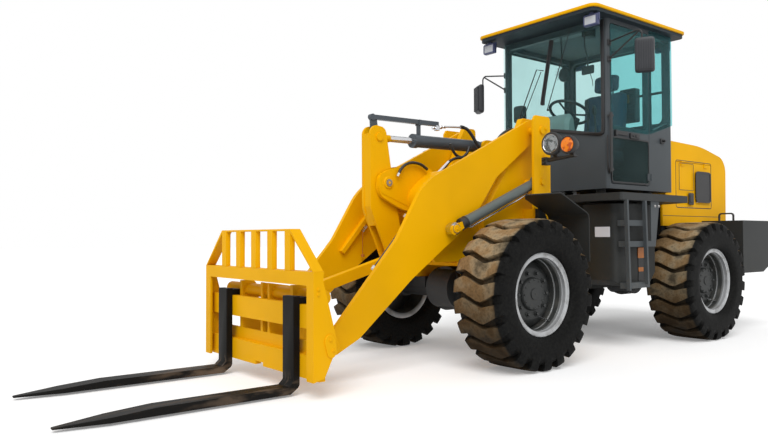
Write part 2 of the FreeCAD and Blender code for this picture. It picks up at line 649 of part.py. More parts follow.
liftDX, liftDZ = d.liftEyeX - d.liftBaseX, d.liftEyeZ - d.liftBaseZ
liftRun, liftTilt = reach(liftDX, liftDZ), heading(liftDX, liftDZ)
for side, name in ((1, "left"), (-1, "right")):
    place = (d.liftBaseX, side * d.liftY, d.liftBaseZ, liftTilt)
    barrel = newBody(f"lift_barrel_{name}", *place)
    makeBarrel(barrel, "Y", d.liftHeadAt, d.liftBarrelRadius, d.liftCollar, d.liftRodRadius,
               d.liftEyeRadius, d.liftEyeHalf, d.pinRadius)
    rod = newBody(f"lift_rod_{name}", *place)
    makeRod(rod, "Y", liftRun, d.liftEyeRadius + 40, d.liftRodRadius, d.liftEyeRadius, d.liftEyeHalf)
    low, high = sides(-(d.liftY - d.armOuter - d.sideGap), d.liftEyeHalf + 14)[0 if side > 0 else 1]
    disc(rod, "Y", low, high, liftRun, 0, d.pinRadius + 8)

tiltDX, tiltDZ = d.tiltEyeX - d.tiltBaseX, d.tiltEyeZ - d.tiltBaseZ
tiltRun, tiltAngle = reach(tiltDX, tiltDZ), heading(tiltDX, tiltDZ)
place = (d.tiltBaseX, 0, d.tiltBaseZ, tiltAngle)
barrel = newBody("tilt_barrel", *place)
makeBarrel(barrel, "Y", d.tiltHeadAt, d.tiltBarrelRadius, d.headCollar, d.tiltRodRadius, d.tiltEyeRadius,
           30, d.smallPinRadius)
# a post behind the cylinder's head, on which the position indicator slides
guideAt = d.guideX - d.tiltBaseX
under = d.indicatorRise - d.indicatorHalf - d.sideGap
block(barrel, guideAt - 10, guideAt + 10, -14, 14, d.tiltBarrelRadius - 6, under)
for low, high in sides(d.indicatorHalf + d.sideGap, d.indicatorHalf + d.sideGap + 6):
    block(barrel, guideAt - 10, guideAt + 10, low, high, under - 8, d.indicatorRise + d.indicatorHalf)
block(barrel, guideAt - 10, guideAt + 10, -d.indicatorHalf - 8, d.indicatorHalf + 8, under - 8, under)
rod = newBody("tilt_rod", *place)
makeRod(rod, "Y", tiltRun, d.tiltRodStart, d.tiltRodRadius, d.tiltEyeRadius, d.crankInner - 4)
# the position indicator: a bar that the rod's eye carries over the cylinder
indicator = newBody("tilt_indicator", *place)
ih, rise = d.indicatorHalf, d.indicatorRise
eyeAt = d.indicatorEyeX - d.tiltBaseX
block(indicator, d.indicatorRearX - d.tiltBaseX, eyeAt, -ih, ih, rise - ih, rise + ih, 4)
disc(indicator, "Y", -ih, ih, eyeAt, rise, ih + 6)
plate(indicator, "Y", -8, 8, [(tiltRun - 34, 10), (tiltRun + 34, 10), (eyeAt + 16, rise), (eyeAt - 40, rise)])
bore(indicator, "Y", -9, 9, tiltRun, 0, d.tiltEyeRadius)

steerDX, steerDY = d.steerRadiusX - d.steerBaseX, d.steerRadiusY - d.steerBaseY
steerRun = reach(steerDX, steerDY)
for side, name in ((1, "left"), (-1, "right")):
    place = (d.steerBaseX, side * d.steerBaseY, d.steerZ, side * heading(steerDX, steerDY), Vector(0, 0, 1))
    barrel = newBody(f"steer_barrel_{name}", *place)
    makeBarrel(barrel, "Z", d.steerHeadAt, d.steerBarrelRadius, d.headCollar, d.steerRodRadius,
               d.steerEyeRadius,
               d.steerEyeWidth / 2, d.smallPinRadius - 6)
    rod = newBody(f"steer_rod_{name}", *place)
    makeRod(rod, "Z", steerRun, d.steerRodStart, d.steerRodRadius, d.steerEyeRadius, d.steerEyeWidth / 2)

# ---------------------------------------------------------------- rear frame

rearSizes = {
    "railInner": 160, "railOuter": 190, "railLowZ": 560, "railTopZ": 900, "railFrontX": -210,
    "railRearX": -2200,
    "engineLowZ": 950, "hoodPostX": -1105, "weightHalf": 900, "weightFrontX": -1787, "weightLowZ": 581,
    "weightTopZ": 1084,
    "cabLowZ": 1340, "deckTopZ": 1285, "deckThickness": 60, "deckFrontX": 150, "deckRearX": -953,
    "deckHalf": 858,
    "hoodHalf": 500, "hoodTopZ": 1845, "hoodLowZ": 1033, "hoodRearX": -2268, "hoodWall": 20, "hoodStepZ": 1255,
    "grilleHalf": 350, "grilleLowZ": 1160, "grilleTopZ": 1560,
    "lidFrontX": -1299, "lidRearX": -1971, "lidTopZ": 1654, "lidHingeOut": 8, "lidLowZ": 1210,
    "tankFrontX": 62, "tankRearX": -500, "tankInner": 400, "tankOuter": 768, "tankLowZ": 531, "tankTopZ": 1203,
}
d.add(rearSizes)
rear = newBody("rear_chassis")
for low, high in sides(d.railInner, d.railOuter):
    plate(rear, "Y", low, high, [
        (d.railFrontX, d.railLowZ - 100), (-front + 260, d.railLowZ - 100, 40),
        (-front + 160, d.railLowZ + 60, 60),
        (-front - 160, d.railLowZ + 60, 60), (-front - 260, d.railLowZ, 40), (d.railRearX, d.railLowZ),
        (d.railRearX, d.railTopZ), (-700, d.railTopZ, 60), (-500, d.railTopZ + 80, 60),
        (d.railFrontX, d.railTopZ + 80),
    ])
within = d.railInner + 1
block(rear, d.railFrontX - 30, d.railFrontX, -within, within, d.railLowZ - 100, d.railTopZ + 80)
block(rear, -900, -860, -within, within, 640, 900)
bore(rear, "X", -901, -859, 0, shaftZ, d.shaftRadius + 12)
block(rear, -2100, -2060, -within, within, 600, 890)
for level in (d.earTopZ, d.earLowZ):
    for side in (1, -1):
        gap = d.earThickness / 2 + 5
        low, high = sides(gap, gap + 28)[0 if side > 0 else 1]
        plate(rear, "Z", level + low, level + high, [
            (72, -72, 68), (72, 72, 68), (-60, 90), (d.railFrontX - 20, within),
            (d.railFrontX - 20, -within), (-60, -90)])
bore(rear, "X", d.railFrontX - 31, d.railFrontX + 1, 0, shaftZ, d.shaftRadius + 12)
# engine mounts
for low, high in sides(d.railInner - 20, d.railOuter + 20):
    for x in (-1700, -1240):
        block(rear, x, x + 60, low, high, d.railTopZ - 20, d.engineLowZ)
# outriggers that carry the deck and the side boxes
for low, high in sides(d.railInner, d.tankInner):
    block(rear, -300, -240, low, high, 800, 860)
    block(rear, -480, -440, low, high, 800, 860)
# two posts that carry the hood's front end
for low, high in sides(d.railOuter - 1, d.hoodHalf - d.hoodWall):
    block(rear, d.hoodPostX, d.hoodPostX + 30, low, high, d.railTopZ - 40, d.railTopZ)
for low, high in sides(d.hoodHalf - d.hoodWall - 30, d.hoodHalf - d.hoodWall):
    block(rear, d.hoodPostX, d.hoodPostX + 30, low, high, d.railTopZ - 1, d.hoodStepZ - 60)
for low, high in sides(d.railInner, d.steerBaseY + 38):
    for z in (d.steerZ - 42, d.steerZ + 24):
        block(rear, d.steerBaseX - 40, d.steerBaseX + 34, low, high, z, z + 18)
for side in (1, -1):
    disc(rear, "Z", d.steerZ - 26, d.steerZ + 30, d.steerBaseX, side * d.steerBaseY, d.smallPinRadius - 6)
disc(rear, "Z", d.earLowZ - 65, d.earTopZ + 65, 0, 0, d.kingPinRadius)

weight = newBody("counterweight")
plate(weight, "Y", -d.weightHalf, d.weightHalf, [
    (d.weightFrontX, d.weightLowZ), (d.weightFrontX, d.weightTopZ), (d.tailX, d.weightTopZ, 20),
    (d.tailX, d.weightLowZ + 160), (d.weightFrontX - 416, d.weightLowZ)])
opening(weight, "Y", -d.railOuter - 1, d.railOuter + 1, [
    (d.weightFrontX + 1, d.weightLowZ - 21), (d.weightFrontX + 1, d.railTopZ + 1),
    (d.railRearX, d.railTopZ + 1),
    (d.railRearX, d.weightLowZ - 21)])
for low, high in sides(640, 820):
    opening(weight, "X", d.tailX - 1, d.tailX + 12, corners(low, high, 980, 1050, 14))

engine = newBody("engine_block")
block(engine, -1780, -1160, -200, 200, d.engineLowZ, 1560)

axle = newBody("rear_axle")
makeAxle(axle, -front)
for low, high in sides(d.railInner, d.railOuter):
    plate(axle, "Y", low, high, corners(-front - 80, -front + 80, d.tyreRadius, d.railLowZ + 60))
disc(axle, "X", -front + 50, -60, 0, shaftZ, d.shaftRadius)

deck = newBody("deck")
plate(deck, "Z", d.deckTopZ - d.deckThickness, d.deckTopZ, [
    (d.deckFrontX, -d.deckHalf, 20), (d.deckFrontX, d.deckHalf, 20), (d.deckRearX + 90, d.deckHalf, 20),
    (d.deckRearX, 620, 40), (d.deckRearX, -620, 40), (d.deckRearX + 90, -d.deckHalf, 20)])
for low, high in sides(d.railInner + 20, d.railOuter + 60):
    block(deck, -330, -210, low, high, d.railTopZ + 80, d.deckTopZ - d.deckThickness + 1)
    block(deck, -900, -840, low, high, d.railTopZ, d.deckTopZ - d.deckThickness + 1)
# rubber mounts under the cab's corners
for x in (-180, -900):
    for y in (440, -440):
        disc(deck, "Z", d.deckTopZ - 1, d.cabLowZ, x, y, 42)

tanks = newBody("side_tanks")
for side in (1, -1):
    outline = [(d.tankFrontX - 40, side * d.tankInner), (d.tankFrontX, side * (d.tankInner + 70)),
               (d.tankFrontX, side * d.tankOuter, 85), (d.tankRearX, side * d.tankOuter, 40),
               (d.tankRearX, side * d.tankInner)]
    plate(tanks, "Z", d.tankLowZ, d.tankTopZ, outline[::side])
opening(tanks, "Y", -d.tankOuter - 1, d.tankOuter + 1, [
    (d.tankRearX - 1, d.tankLowZ - 1), (d.tankRearX + 120, d.tankLowZ - 1),
    (d.tankRearX - 1, d.tankLowZ + 130)])
opening(tanks, "Y", -d.tankOuter - 1, d.tankOuter + 1, [
    (d.tankFrontX + 1, d.tankLowZ - 1), (d.tankFrontX + 1, d.tankLowZ + 45),
    (d.tankFrontX - 45, d.tankLowZ - 1)])

ladderSizes = {
    "ladderY": 870, "ladderRail": 22, "ladderFrontX": 92, "ladderRearX": -168, "ladderLean": 30,
    "ladderLowZ": 500,
    "treadInnerY": 772, "treadHeight": 46,
}
d.add(ladderSizes)
ladder = newBody("ladder")
under = d.deckTopZ - d.deckThickness
rail, lean, face = d.ladderRail, d.ladderLean, d.ladderY
for x, foot in ((d.ladderFrontX, d.ladderLowZ), (d.ladderRearX, d.ladderLowZ + 40)):
    plate(ladder, "Y", face - 30, face, [(x - rail, under), (x - lean - rail, foot), (x - lean, foot),
          (x, under)])
# three treads, the middle one carried at its rear end by a hanging plate
for z, x0, x1 in ((1018, -180, 78), (848, -325, 66), (512, -270, 50)):
    block(ladder, x0, x1, d.treadInnerY, face - 29, z, z + d.treadHeight)
plate(ladder, "Y", face - 38, face - 30, [(-431, under), (-366, 848), (-300, 848), (-300, under)])

# ---------------------------------------------------------------- cab

cabSizes = {
    "cabFrontX": -85, "cabRearX": -1100, "cabHalf": 580, "headerHeight": 55, "cabWall": 50, "cabCorner": 30,
    "sillZ": 1770, "roofHeight": 57, "roofFrontX": 200, "roofRearX": -1245, "roofHalf": 660,
    "roofThickness": 27,
    "screenSideZ": 1797, "screenMiddleZ": 1900, "screenTopZ": 2735, "paneLowZ": 1880, "rearPaneLowZ": 1985,
    "doorRearX": -715, "doorFrontX": -122, "doorGap": 6, "glassThickness": 6, "consoleHalf": 300,
}
d.add(cabSizes)
cf, cr, ch, cl, cw = d.cabFrontX, d.cabRearX, d.cabHalf, d.cabLowZ, d.cabWall
ct = d.screenTopZ + d.headerHeight
dr, df, floorZ, lintelZ = d.doorRearX, d.doorFrontX, d.cabLowZ + 40, d.screenTopZ + 20
cab = newBody("cab_frame")
block(cab, cr, cf, -ch, ch, cl, d.sillZ, d.cabCorner)
hollow(cab, cr + cw, cf - cw, -ch + cw, ch - cw, floorZ, d.sillZ + 1)
opening(cab, "Y", ch - cw - 1, ch + 1, [(dr, floorZ, 30), (df, floorZ, 30), (df, d.sillZ + 1),
        (dr, d.sillZ + 1)])

pillars = newBody("cab_pillars")
block(pillars, cr, cf, -ch, ch, d.sillZ, ct, d.cabCorner)
hollow(pillars, cr + cw, cf - cw, -ch + cw, ch - cw, d.sillZ - 1, ct + 1)
opening(pillars, "Y", ch - cw - 1, ch + 1, [(dr, d.sillZ - 1), (df, d.sillZ - 1), (df, lintelZ, 30),
        (dr, lintelZ, 30)])
# the windscreen drops towards both pillars; the quarter window rises towards the rear
screenHalf = ch - 50
screen = [(-screenHalf, d.screenTopZ, 50), (-screenHalf, d.screenSideZ, 50), (0, d.screenMiddleZ, 300),
          (screenHalf, d.screenSideZ, 50), (screenHalf, d.screenTopZ, 50)]
rearPane = corners(-ch + 70, ch - 70, d.rearPaneLowZ, d.screenTopZ, 60)
rightPane = corners(cr + 60, cf - 60, d.paneLowZ, d.screenTopZ, 50)
quarterPane = [(cr + 45, d.rearPaneLowZ, 30), (dr - 45, d.paneLowZ, 30), (dr - 45, d.screenTopZ, 30),
               (cr + 45, d.screenTopZ, 30)]
opening(pillars, "X", cf - cw - 1, cf + 1, screen)
opening(pillars, "X", cr - 1, cr + cw + 1, rearPane)
opening(pillars, "Y", -ch - 1, -ch + cw + 1, rightPane)
opening(pillars, "Y", ch - cw - 1, ch + 1, quarterPane)

roof = newBody("cab_roof")
roofTopZ = ct + d.roofHeight
slabZ = roofTopZ - d.roofThickness
block(roof, d.roofRearX, d.roofFrontX, -d.roofHalf, d.roofHalf, slabZ, roofTopZ, 70)
liner = newBody("roof_liner")
block(liner, d.roofRearX + 14, d.roofFrontX - 14, -d.roofHalf + 14, d.roofHalf - 14, ct, slabZ, 60)

glass = newBody("cab_glass")
thin = d.glassThickness
mid = cw / 2
plate(glass, "X", cf - mid, cf - mid + thin, screen)
plate(glass, "X", cr + mid, cr + mid + thin, rearPane)
plate(glass, "Y", -ch + mid, -ch + mid + thin, rightPane)
plate(glass, "Y", ch - mid - thin, ch - mid, quarterPane)

door = newBody("cab_door")
g = d.doorGap
upperPane = corners(dr + g + 24, df - g - 18, d.paneLowZ, lintelZ - g - 40, 30)
lowerPane = corners(dr + g + 24, df - g - 18, cl + 70, d.sillZ - 2, 30)
plate(door, "Y", ch - cw + 4, ch, corners(dr + g, df - g, floorZ + g, lintelZ - g, 26))
opening(door, "Y", ch - cw, ch + 1, upperPane)
opening(door, "Y", ch - cw, ch + 1, lowerPane)
for z in (cl + 90, lintelZ - 315):
    disc(door, "Z", z, z + 60, dr - 2, ch + 14, 9)
    block(door, dr - 2, dr + 50, ch + 6, ch + 14, z, z + 60)
    block(door, dr + 12, dr + 50, ch - 1, ch + 7, z, z + 60)
doorGlass = newBody("door_glass")
plate(doorGlass, "Y", ch - mid - thin, ch - mid, upperPane)
plate(doorGlass, "Y", ch - mid - thin, ch - mid, lowerPane)

seat = newBody("seat")
block(seat, -880, -500, -200, 200, floorZ, 1620, 40)
block(seat, -920, -440, -250, 250, 1619, 1760, 60)
plate(seat, "Y", -240, 240, [(-920, 1740), (-800, 1740), (-870, 2340, 40), (-985, 2340, 40)])
plate(seat, "Y", -140, 140, [(-985, 2330), (-880, 2330), (-900, 2520, 40), (-995, 2520, 40)])

console = newBody("steering_console")
block(console, cf - 210, cf - cw - 1, -d.consoleHalf, d.consoleHalf, floorZ, 1800, 20)
plate(console, "Y", -60, 60, [(cf - 205, 1790), (cf - 120, 1790), (cf - 270, 2040, 10), (cf - 330, 2025, 10)])
wheel = newBody("steering_wheel", cf - 316, 0, 2056, 118)
turned(wheel, [(-14, 168), (14, 168), (14, 196), (-14, 196)])
turned(wheel, [(-16, 0), (22, 0), (22, 46), (-16, 46)])
for low, high in sides(30, 180):
    block(wheel, -8, 8, low, high, -14, 14)
block(wheel, -8, 8, -14, 14, -180, -30)

mirrorSizes = {
    "mirrorX": -95, "mirrorY": 925, "mirrorWidth": 185, "mirrorDepth": 62, "mirrorLowZ": 2260,
    "mirrorTopZ": 2545,
    "mirrorTurn": 28, "mirrorDrop": 78, "armBar": 14,
}
d.add(mirrorSizes)
mirrors = newBody("mirrors")
bar0, bar1 = cf - 36, cf - 22
cosine, sine = math.cos(math.radians(d.mirrorTurn.value)), math.sin(math.radians(d.mirrorTurn.value))
for side, drop in ((1, size(0)), (-1, d.mirrorDrop)):
    # each head is turned to face back and inwards
    turnedSpots = []
    for a, b in ((-1, -1), (1, -1), (1, 1), (-1, 1)):
        along, across = d.mirrorDepth * (a / 2), d.mirrorWidth * (b / 2)
        turnedSpots.append((d.mirrorX + along * cosine - across * sine,
                            side * (d.mirrorY + along * sine + across * cosine), 20))
    plate(mirrors, "Z", d.mirrorLowZ - drop, d.mirrorTopZ - drop, turnedSpots[::side])
    # a triangular bracket of two bars, with a short hanger
    top = d.mirrorTopZ + 80 - drop
    arm = [(side * ch, top - 50), (side * 862, top), (side * 890, top - 30),
            (side * 890, d.mirrorTopZ - 1 - drop)]
    plate(mirrors, "X", bar0, bar1, band(arm, d.armBar * side))
    strut = [(side * ch, top - 192), (side * 858, top - 14)]
    plate(mirrors, "X", bar0, bar1, band(strut, d.armBar * side))

rails = newBody("handrails")
grabX, grabY = cf + 3, ch + 35
disc(rails, "Z", cl + 136, cl + 638, grabX, grabY, 13)
for z in (cl + 152, cl + 606):
    block(rails, cf - 35, grabX, ch, grabY, z, z + 16)
for side in (1, -1):
    loop = [(side * 648, d.weightTopZ), (side * 648, d.weightTopZ + 76, 30),
             (side * 800, d.weightTopZ + 76, 30),
            (side * 800, d.weightTopZ)]
    plate(rails, "X", -1830, -1814, band(loop, 14 * side))

workLamps = newBody("work_lamps")
for low, high in sides(505, 640):
    block(workLamps, 96, 140, low, high, ct - 110, ct - 18, 8)
    block(workLamps, 106, 130, (low + high) / 2 - 20, (low + high) / 2 + 20, ct - 20, ct)
    block(workLamps, cr - 60, cr - 20, low - 100, high - 100, ct - 110, ct - 18, 8)
    block(workLamps, cr - 50, cr - 30, (low + high) / 2 - 120, (low + high) / 2 - 80, ct - 20, ct)
rearLamps = newBody("rear_lamps")
for low, high in sides(640, 820):
    plate(rearLamps, "X", d.tailX, d.tailX + 12, corners(low, high, 980, 1050, 14))

# ---------------------------------------------------------------- hood

hh, hw, slatCount = d.hoodHalf, d.hoodWall, 9
hoodFront = cr - 12
shell = newBody("hood_shell")
hoodLowFront = hoodFront + 54
plate(shell, "Y", -hh, hh, [
    (hoodLowFront, d.hoodLowZ), (hoodLowFront, d.hoodStepZ, 24), (hoodFront, d.hoodStepZ),
    (hoodFront, d.hoodTopZ, 20),
    (-1770, d.hoodTopZ - 18, 1500), (d.hoodRearX - 10, d.hoodTopZ - 121, 170), (d.hoodRearX, d.weightTopZ),
    (d.weightFrontX + 10, d.weightTopZ), (d.weightFrontX + 10, d.hoodLowZ)])
opening(shell, "Y", -hh + hw, hh - hw, [
    (hoodFront + 55, d.hoodLowZ - 1), (hoodFront + 55, d.hoodStepZ - hw), (hoodFront - hw, d.hoodStepZ - hw),
    (hoodFront - hw, d.hoodTopZ - hw), (-1770, d.hoodTopZ - hw - 18),
    (d.hoodRearX - 10 + hw, d.hoodTopZ - 121 - hw, 140),
    (d.hoodRearX + hw, d.hoodLowZ - 1)])
for low, high in sides(hh - hw - 1, hh + 1):
    opening(shell, "Y", low, high, corners(d.lidRearX, d.lidFrontX, d.lidLowZ, d.lidTopZ, 20))
opening(shell, "X", d.hoodRearX - 20, d.hoodRearX + 100, corners(-d.grilleHalf, d.grilleHalf, d.grilleLowZ,
        d.grilleTopZ))
grille = newBody("rear_grille")
for i in range(slatCount):
    z = d.grilleLowZ + 12 + (d.grilleTopZ - d.grilleLowZ - 20) * (i / slatCount)
    plate(grille, "Y", -d.grilleHalf + 5, d.grilleHalf - 5, [
        (d.hoodRearX, z), (d.hoodRearX + 14, z), (d.hoodRearX + 20, z + 24), (d.hoodRearX + 6, z + 24)])
for low, high in sides(d.grilleHalf - 20, d.grilleHalf):
    block(grille, d.hoodRearX, d.hoodRearX + 22, low, high, d.grilleLowZ, d.grilleTopZ)
for side, name in ((1, "left"), (-1, "right")):
    lid = newBody(f"hood_door_{name}")
    low, high = sides(hh - hw, hh)[0 if side > 0 else 1]
    plate(lid, "Y", low, high, corners(d.lidRearX + 5, d.lidFrontX - 5, d.lidLowZ + 5, d.lidTopZ - 5, 16))
    opening(lid, "Y", low - 1, high + 1, corners(-1925, -1662, 1268, 1570, 24))
    for i in range(7):
        z = 1279 + i * 41
        block(lid, -1927, -1660, *(side * (hh - 12), side * (hh - 6))[::side], z, z + 26)
    for x in (d.lidRearX + 90, d.lidFrontX - 150):
        disc(lid, "X", x, x + 60, side * (hh + d.lidHingeOut), d.lidTopZ, d.lidHingeOut - 1)
        block(lid, x, x + 60, *(side * (hh - 1), side * (hh + d.lidHingeOut))[::side], d.lidTopZ - 40,
              d.lidTopZ - 5)

# ---------------------------------------------------------------- write each sub-part

doc.recompute()
faults = [f"{item.Name}: {item.State}" for item in doc.Objects if {"Invalid", "Error"} & set(item.State)]
parts = [item for item in doc.Objects if item.TypeId == "PartDesign::Body"]
faults += [f"{item.Label}: bad shape" for item in parts if item.Shape.isNull() or not item.Shape.isValid()]
if faults:
    raise SystemExit("\n".join(faults))
os.makedirs("parts", exist_ok=True)
for item in parts:
    item.Shape.exportStep(f"parts/{item.Label}.step")
print(f"{len(parts)} sub-parts written")
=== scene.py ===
import bmesh
import bpy
import json
import math
import numpy as np
from mathutils import Matrix, Vector

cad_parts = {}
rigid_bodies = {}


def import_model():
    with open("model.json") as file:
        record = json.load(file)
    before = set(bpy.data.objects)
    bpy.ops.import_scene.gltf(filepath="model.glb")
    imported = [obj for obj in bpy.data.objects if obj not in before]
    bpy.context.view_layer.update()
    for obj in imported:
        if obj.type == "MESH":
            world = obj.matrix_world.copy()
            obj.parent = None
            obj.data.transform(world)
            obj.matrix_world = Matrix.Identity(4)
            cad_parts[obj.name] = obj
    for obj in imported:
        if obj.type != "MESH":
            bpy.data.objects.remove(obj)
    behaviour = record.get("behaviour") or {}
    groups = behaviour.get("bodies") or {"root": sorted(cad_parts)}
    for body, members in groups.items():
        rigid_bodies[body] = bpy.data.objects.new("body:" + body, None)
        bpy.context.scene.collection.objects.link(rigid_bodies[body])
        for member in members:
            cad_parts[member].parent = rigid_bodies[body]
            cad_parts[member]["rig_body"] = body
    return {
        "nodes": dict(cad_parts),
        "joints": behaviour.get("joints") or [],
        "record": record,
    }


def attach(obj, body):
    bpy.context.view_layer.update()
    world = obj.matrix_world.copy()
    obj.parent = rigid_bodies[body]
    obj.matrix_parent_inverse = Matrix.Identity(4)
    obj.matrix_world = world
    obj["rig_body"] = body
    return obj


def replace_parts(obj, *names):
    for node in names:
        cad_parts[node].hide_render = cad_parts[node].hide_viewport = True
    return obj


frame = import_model()
nodes = frame["nodes"]
bodyOf = {name: node["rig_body"] for name, node in nodes.items()}
slotOf = {row["node"]: row["material_slot"] for row in frame["record"]["subparts"]}
pivot = {joint["name"]: np.array(joint.get("pos_m", (0, 0, 0))) for joint in frame["joints"]}
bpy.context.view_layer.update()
pi = math.pi
print("frame loaded")


class Wire:     # a socket; maths on it adds the Math nodes
    def __init__(self, net, socket):
        self.net, self.socket = net, socket

    def join(self, operation, other, swapped=False):
        pair = (other, self) if swapped else (self, other)
        return self.net.node("Math", {"operation": operation}, {0: pair[0], 1: pair[1]})

    def __add__(self, other): return self.join("ADD", other)
    def __radd__(self, other): return self.join("ADD", other, True)
    def __sub__(self, other): return self.join("SUBTRACT", other)
    def __rsub__(self, other): return self.join("SUBTRACT", other, True)
    def __mul__(self, other): return self.join("MULTIPLY", other)
    def __rmul__(self, other): return self.join("MULTIPLY", other, True)
    def __gt__(self, other): return self.join("GREATER_THAN", other)
    def __lt__(self, other): return self.join("LESS_THAN", other)
    def __pow__(self, other): return self.join("POWER", other)

    def ramp(self, low, high, start=0.0, end=1.0):      # a smooth step between two levels
        return self.net.node("MapRange", {"interpolation_type": "SMOOTHSTEP"},
                             {0: self, 1: low, 2: high, 3: start, 4: end})


class Net:      # the nodes of a new material, or of the world
    def __init__(self, name, world=None):
        self.owner = world or bpy.data.materials.new(name)
        self.owner.use_nodes = True
        self.tree = self.owner.node_tree
        self.tree.nodes.clear()
        if not world:
            self.place = self.node("TexCoord", output="Object")
            self.x, self.y, self.z = self.split(self.place)

    def node(self, kind, settings={}, inputs={}, output=0):
        item = self.tree.nodes.new("ShaderNode" + kind)
        for key, value in settings.items():
            setattr(item, key, value)
        for key, value in inputs.items():
            if isinstance(value, Wire):
                self.tree.links.new(value.socket, item.inputs[key])
            else:
                item.inputs[key].default_value = value
        return Wire(self, item.outputs[output]) if item.outputs else item

    def split(self, vector):
        item = self.node("SeparateXYZ", {}, {0: vector}).socket.node
        return [Wire(self, item.outputs[axis]) for axis in "XYZ"]

    def noise(self, scale, detail=4, stretch=(1, 1, 1)):
        place = self.node("Mapping", {}, {"Vector": self.place, "Scale": stretch})
        return self.node("TexNoise", {}, {"Vector": place, "Scale": scale, "Detail": detail})

    def blend(self, factor, first, second):             # a colour between two colours
        return self.node("Mix", {"data_type": "RGBA"}, {0: factor, 6: first, 7: second}, 2)

    def bump(self, height, distance, strength=1.0):
        return self.node("Bump", {}, {"Height": height, "Distance": distance, "Strength": strength})

    def shader(self, sockets):
        return self.node("BsdfPrincipled", {}, sockets)

    def finish(self, surface):
        self.node("OutputMaterial", {}, {"Surface": surface})
        return self.owner

    def principled(self, sockets):
        return self.finish(self.shader(sockets))


def addPiece(name, parts, material, body="rear_frame", smooth=40):
    # one object from one mesh of (points, faces), or from several closed ones; its slot goes by its finish
    points, faces = joinMeshes(parts) if isinstance(parts, list) else parts
    mesh = bpy.data.meshes.new(name)
    mesh.from_pydata(np.reshape(points, (-1, 3)).tolist(), [], [list(face) for face in faces])
    net = bmesh.new()
    net.from_mesh(mesh)
    bmesh.ops.recalc_face_normals(net, faces=net.faces)
    net.to_mesh(mesh)
    net.free()
    mesh.materials.append(material)
    mesh.validate()
    piece = bpy.data.objects.new(name, mesh)
    bpy.context.scene.collection.objects.link(piece)
    roundShade(piece, smooth)
    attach(piece, body)
    return piece


def addPieces(table):
    # each row of a table: the body it rides on, its finish and its parts
    for name, (body, finish, *parts) in table.items():
        addPiece(name, parts, finish, body)


def roundShade(piece, degrees):
    # shaded smooth, apart from edges sharper than an angle
    piece.data.polygons.foreach_set("use_smooth", np.ones(len(piece.data.polygons), bool))
    piece.data.set_sharp_from_angle(angle=math.radians(degrees))


def gridFaces(rows, columns, wrapRows=False, wrapColumns=False):
    # quads between neighbours on a grid of rows x columns; a wrapped side joins its end to its start
    down = np.arange(rows if wrapRows else rows - 1)[:, None]
    across = np.arange(columns if wrapColumns else columns - 1)[None, :]
    below, beside = (down + 1) % rows, (across + 1) % columns
    corners = [down * columns + across, down * columns + beside, below * columns + beside, below * columns + across]
    return np.stack([corner + 0 * across + 0 * down for corner in corners], -1).reshape(-1, 4)


def basis(axis):
    # two unit vectors across an axis
    axis = np.array(axis, float) / np.linalg.norm(axis)
    side = np.cross(axis, (0, 0, 1) if abs(axis[2]) < 0.9 else (1, 0, 0))
    side /= np.linalg.norm(side)
    return axis, side, np.cross(axis, side)


def turned(profile, centre, axis, steps=48):
    # each profile point (along, radius) swept once round the axis
    along, radius = np.array(profile, float).T
    axis, side, up = basis(axis)
    angle = np.linspace(0, 2 * pi, steps, endpoint=False)
    ring = np.cos(angle)[:, None] * side + np.sin(angle)[:, None] * up
    return np.array(centre) + along[:, None, None] * axis + radius[:, None, None] * ring


def closed(rings):
    # rings with equally many points joined in a row, the first and last filled flat
    rows, count = rings.shape[:2]
    quads = gridFaces(rows, count, wrapColumns=True).tolist()
    return rings, quads + [list(range(count))[::-1], list(range((rows - 1) * count, rows * count))]


def joinMeshes(parts):
    # several (points, faces) made one
    points, faces, start = [], [], 0
    for spots, quads in parts:
        spots = np.reshape(spots, (-1, 3))
        points.append(spots)
        faces += [[int(corner) + start for corner in quad] for quad in quads]
        start += len(spots)
    return np.concatenate(points), faces


def smoothPath(route, count):
    # a Catmull-Rom curve through the route's points, count points to a run
    route = np.array(route, float)
    ends = np.concatenate([[2 * route[0] - route[1]], route, [2 * route[-1] - route[-2]]])
    t = np.linspace(0, 1, count, endpoint=False)[:, None, None]
    a, b, c, d = ends[:-3], ends[1:-2], ends[2:-1], ends[3:]
    curve = 0.5 * (2 * b + (c - a) * t + (2 * a - 5 * b + 4 * c - d) * t ** 2 + (3 * b - a - 3 * c + d) * t ** 3)
    return np.concatenate([np.moveaxis(curve, 0, 1).reshape(-1, route.shape[1]), route[-1:]])


def tubeAlong(path, radius, steps=10):
    # a round section carried along a path, its frame turned as little as possible, with closed ends
    path = np.array(path, float)
    heading = np.gradient(path, axis=0)
    heading /= np.linalg.norm(heading, axis=1)[:, None]
    side = np.empty_like(path)
    side[0] = basis(heading[0])[1]
    for i in range(1, len(path)):
        side[i] = side[i - 1] - heading[i] * np.dot(side[i - 1], heading[i])
        side[i] /= np.linalg.norm(side[i])
    angle = np.linspace(0, 2 * pi, steps, endpoint=False)
    ring = np.cos(angle)[:, None] * side[:, None] + np.sin(angle)[:, None] * np.cross(heading, side)[:, None]
    return closed(path[:, None] + radius * ring)


originAhead = np.array((840, 0, 0))     # from the steering pivot forward to the frame's origin, in millimetres


def at(places):
    # millimetres from the ground under the steering pivot, to metres in the frame
    return (np.array(places, float) - originAhead) / 1000


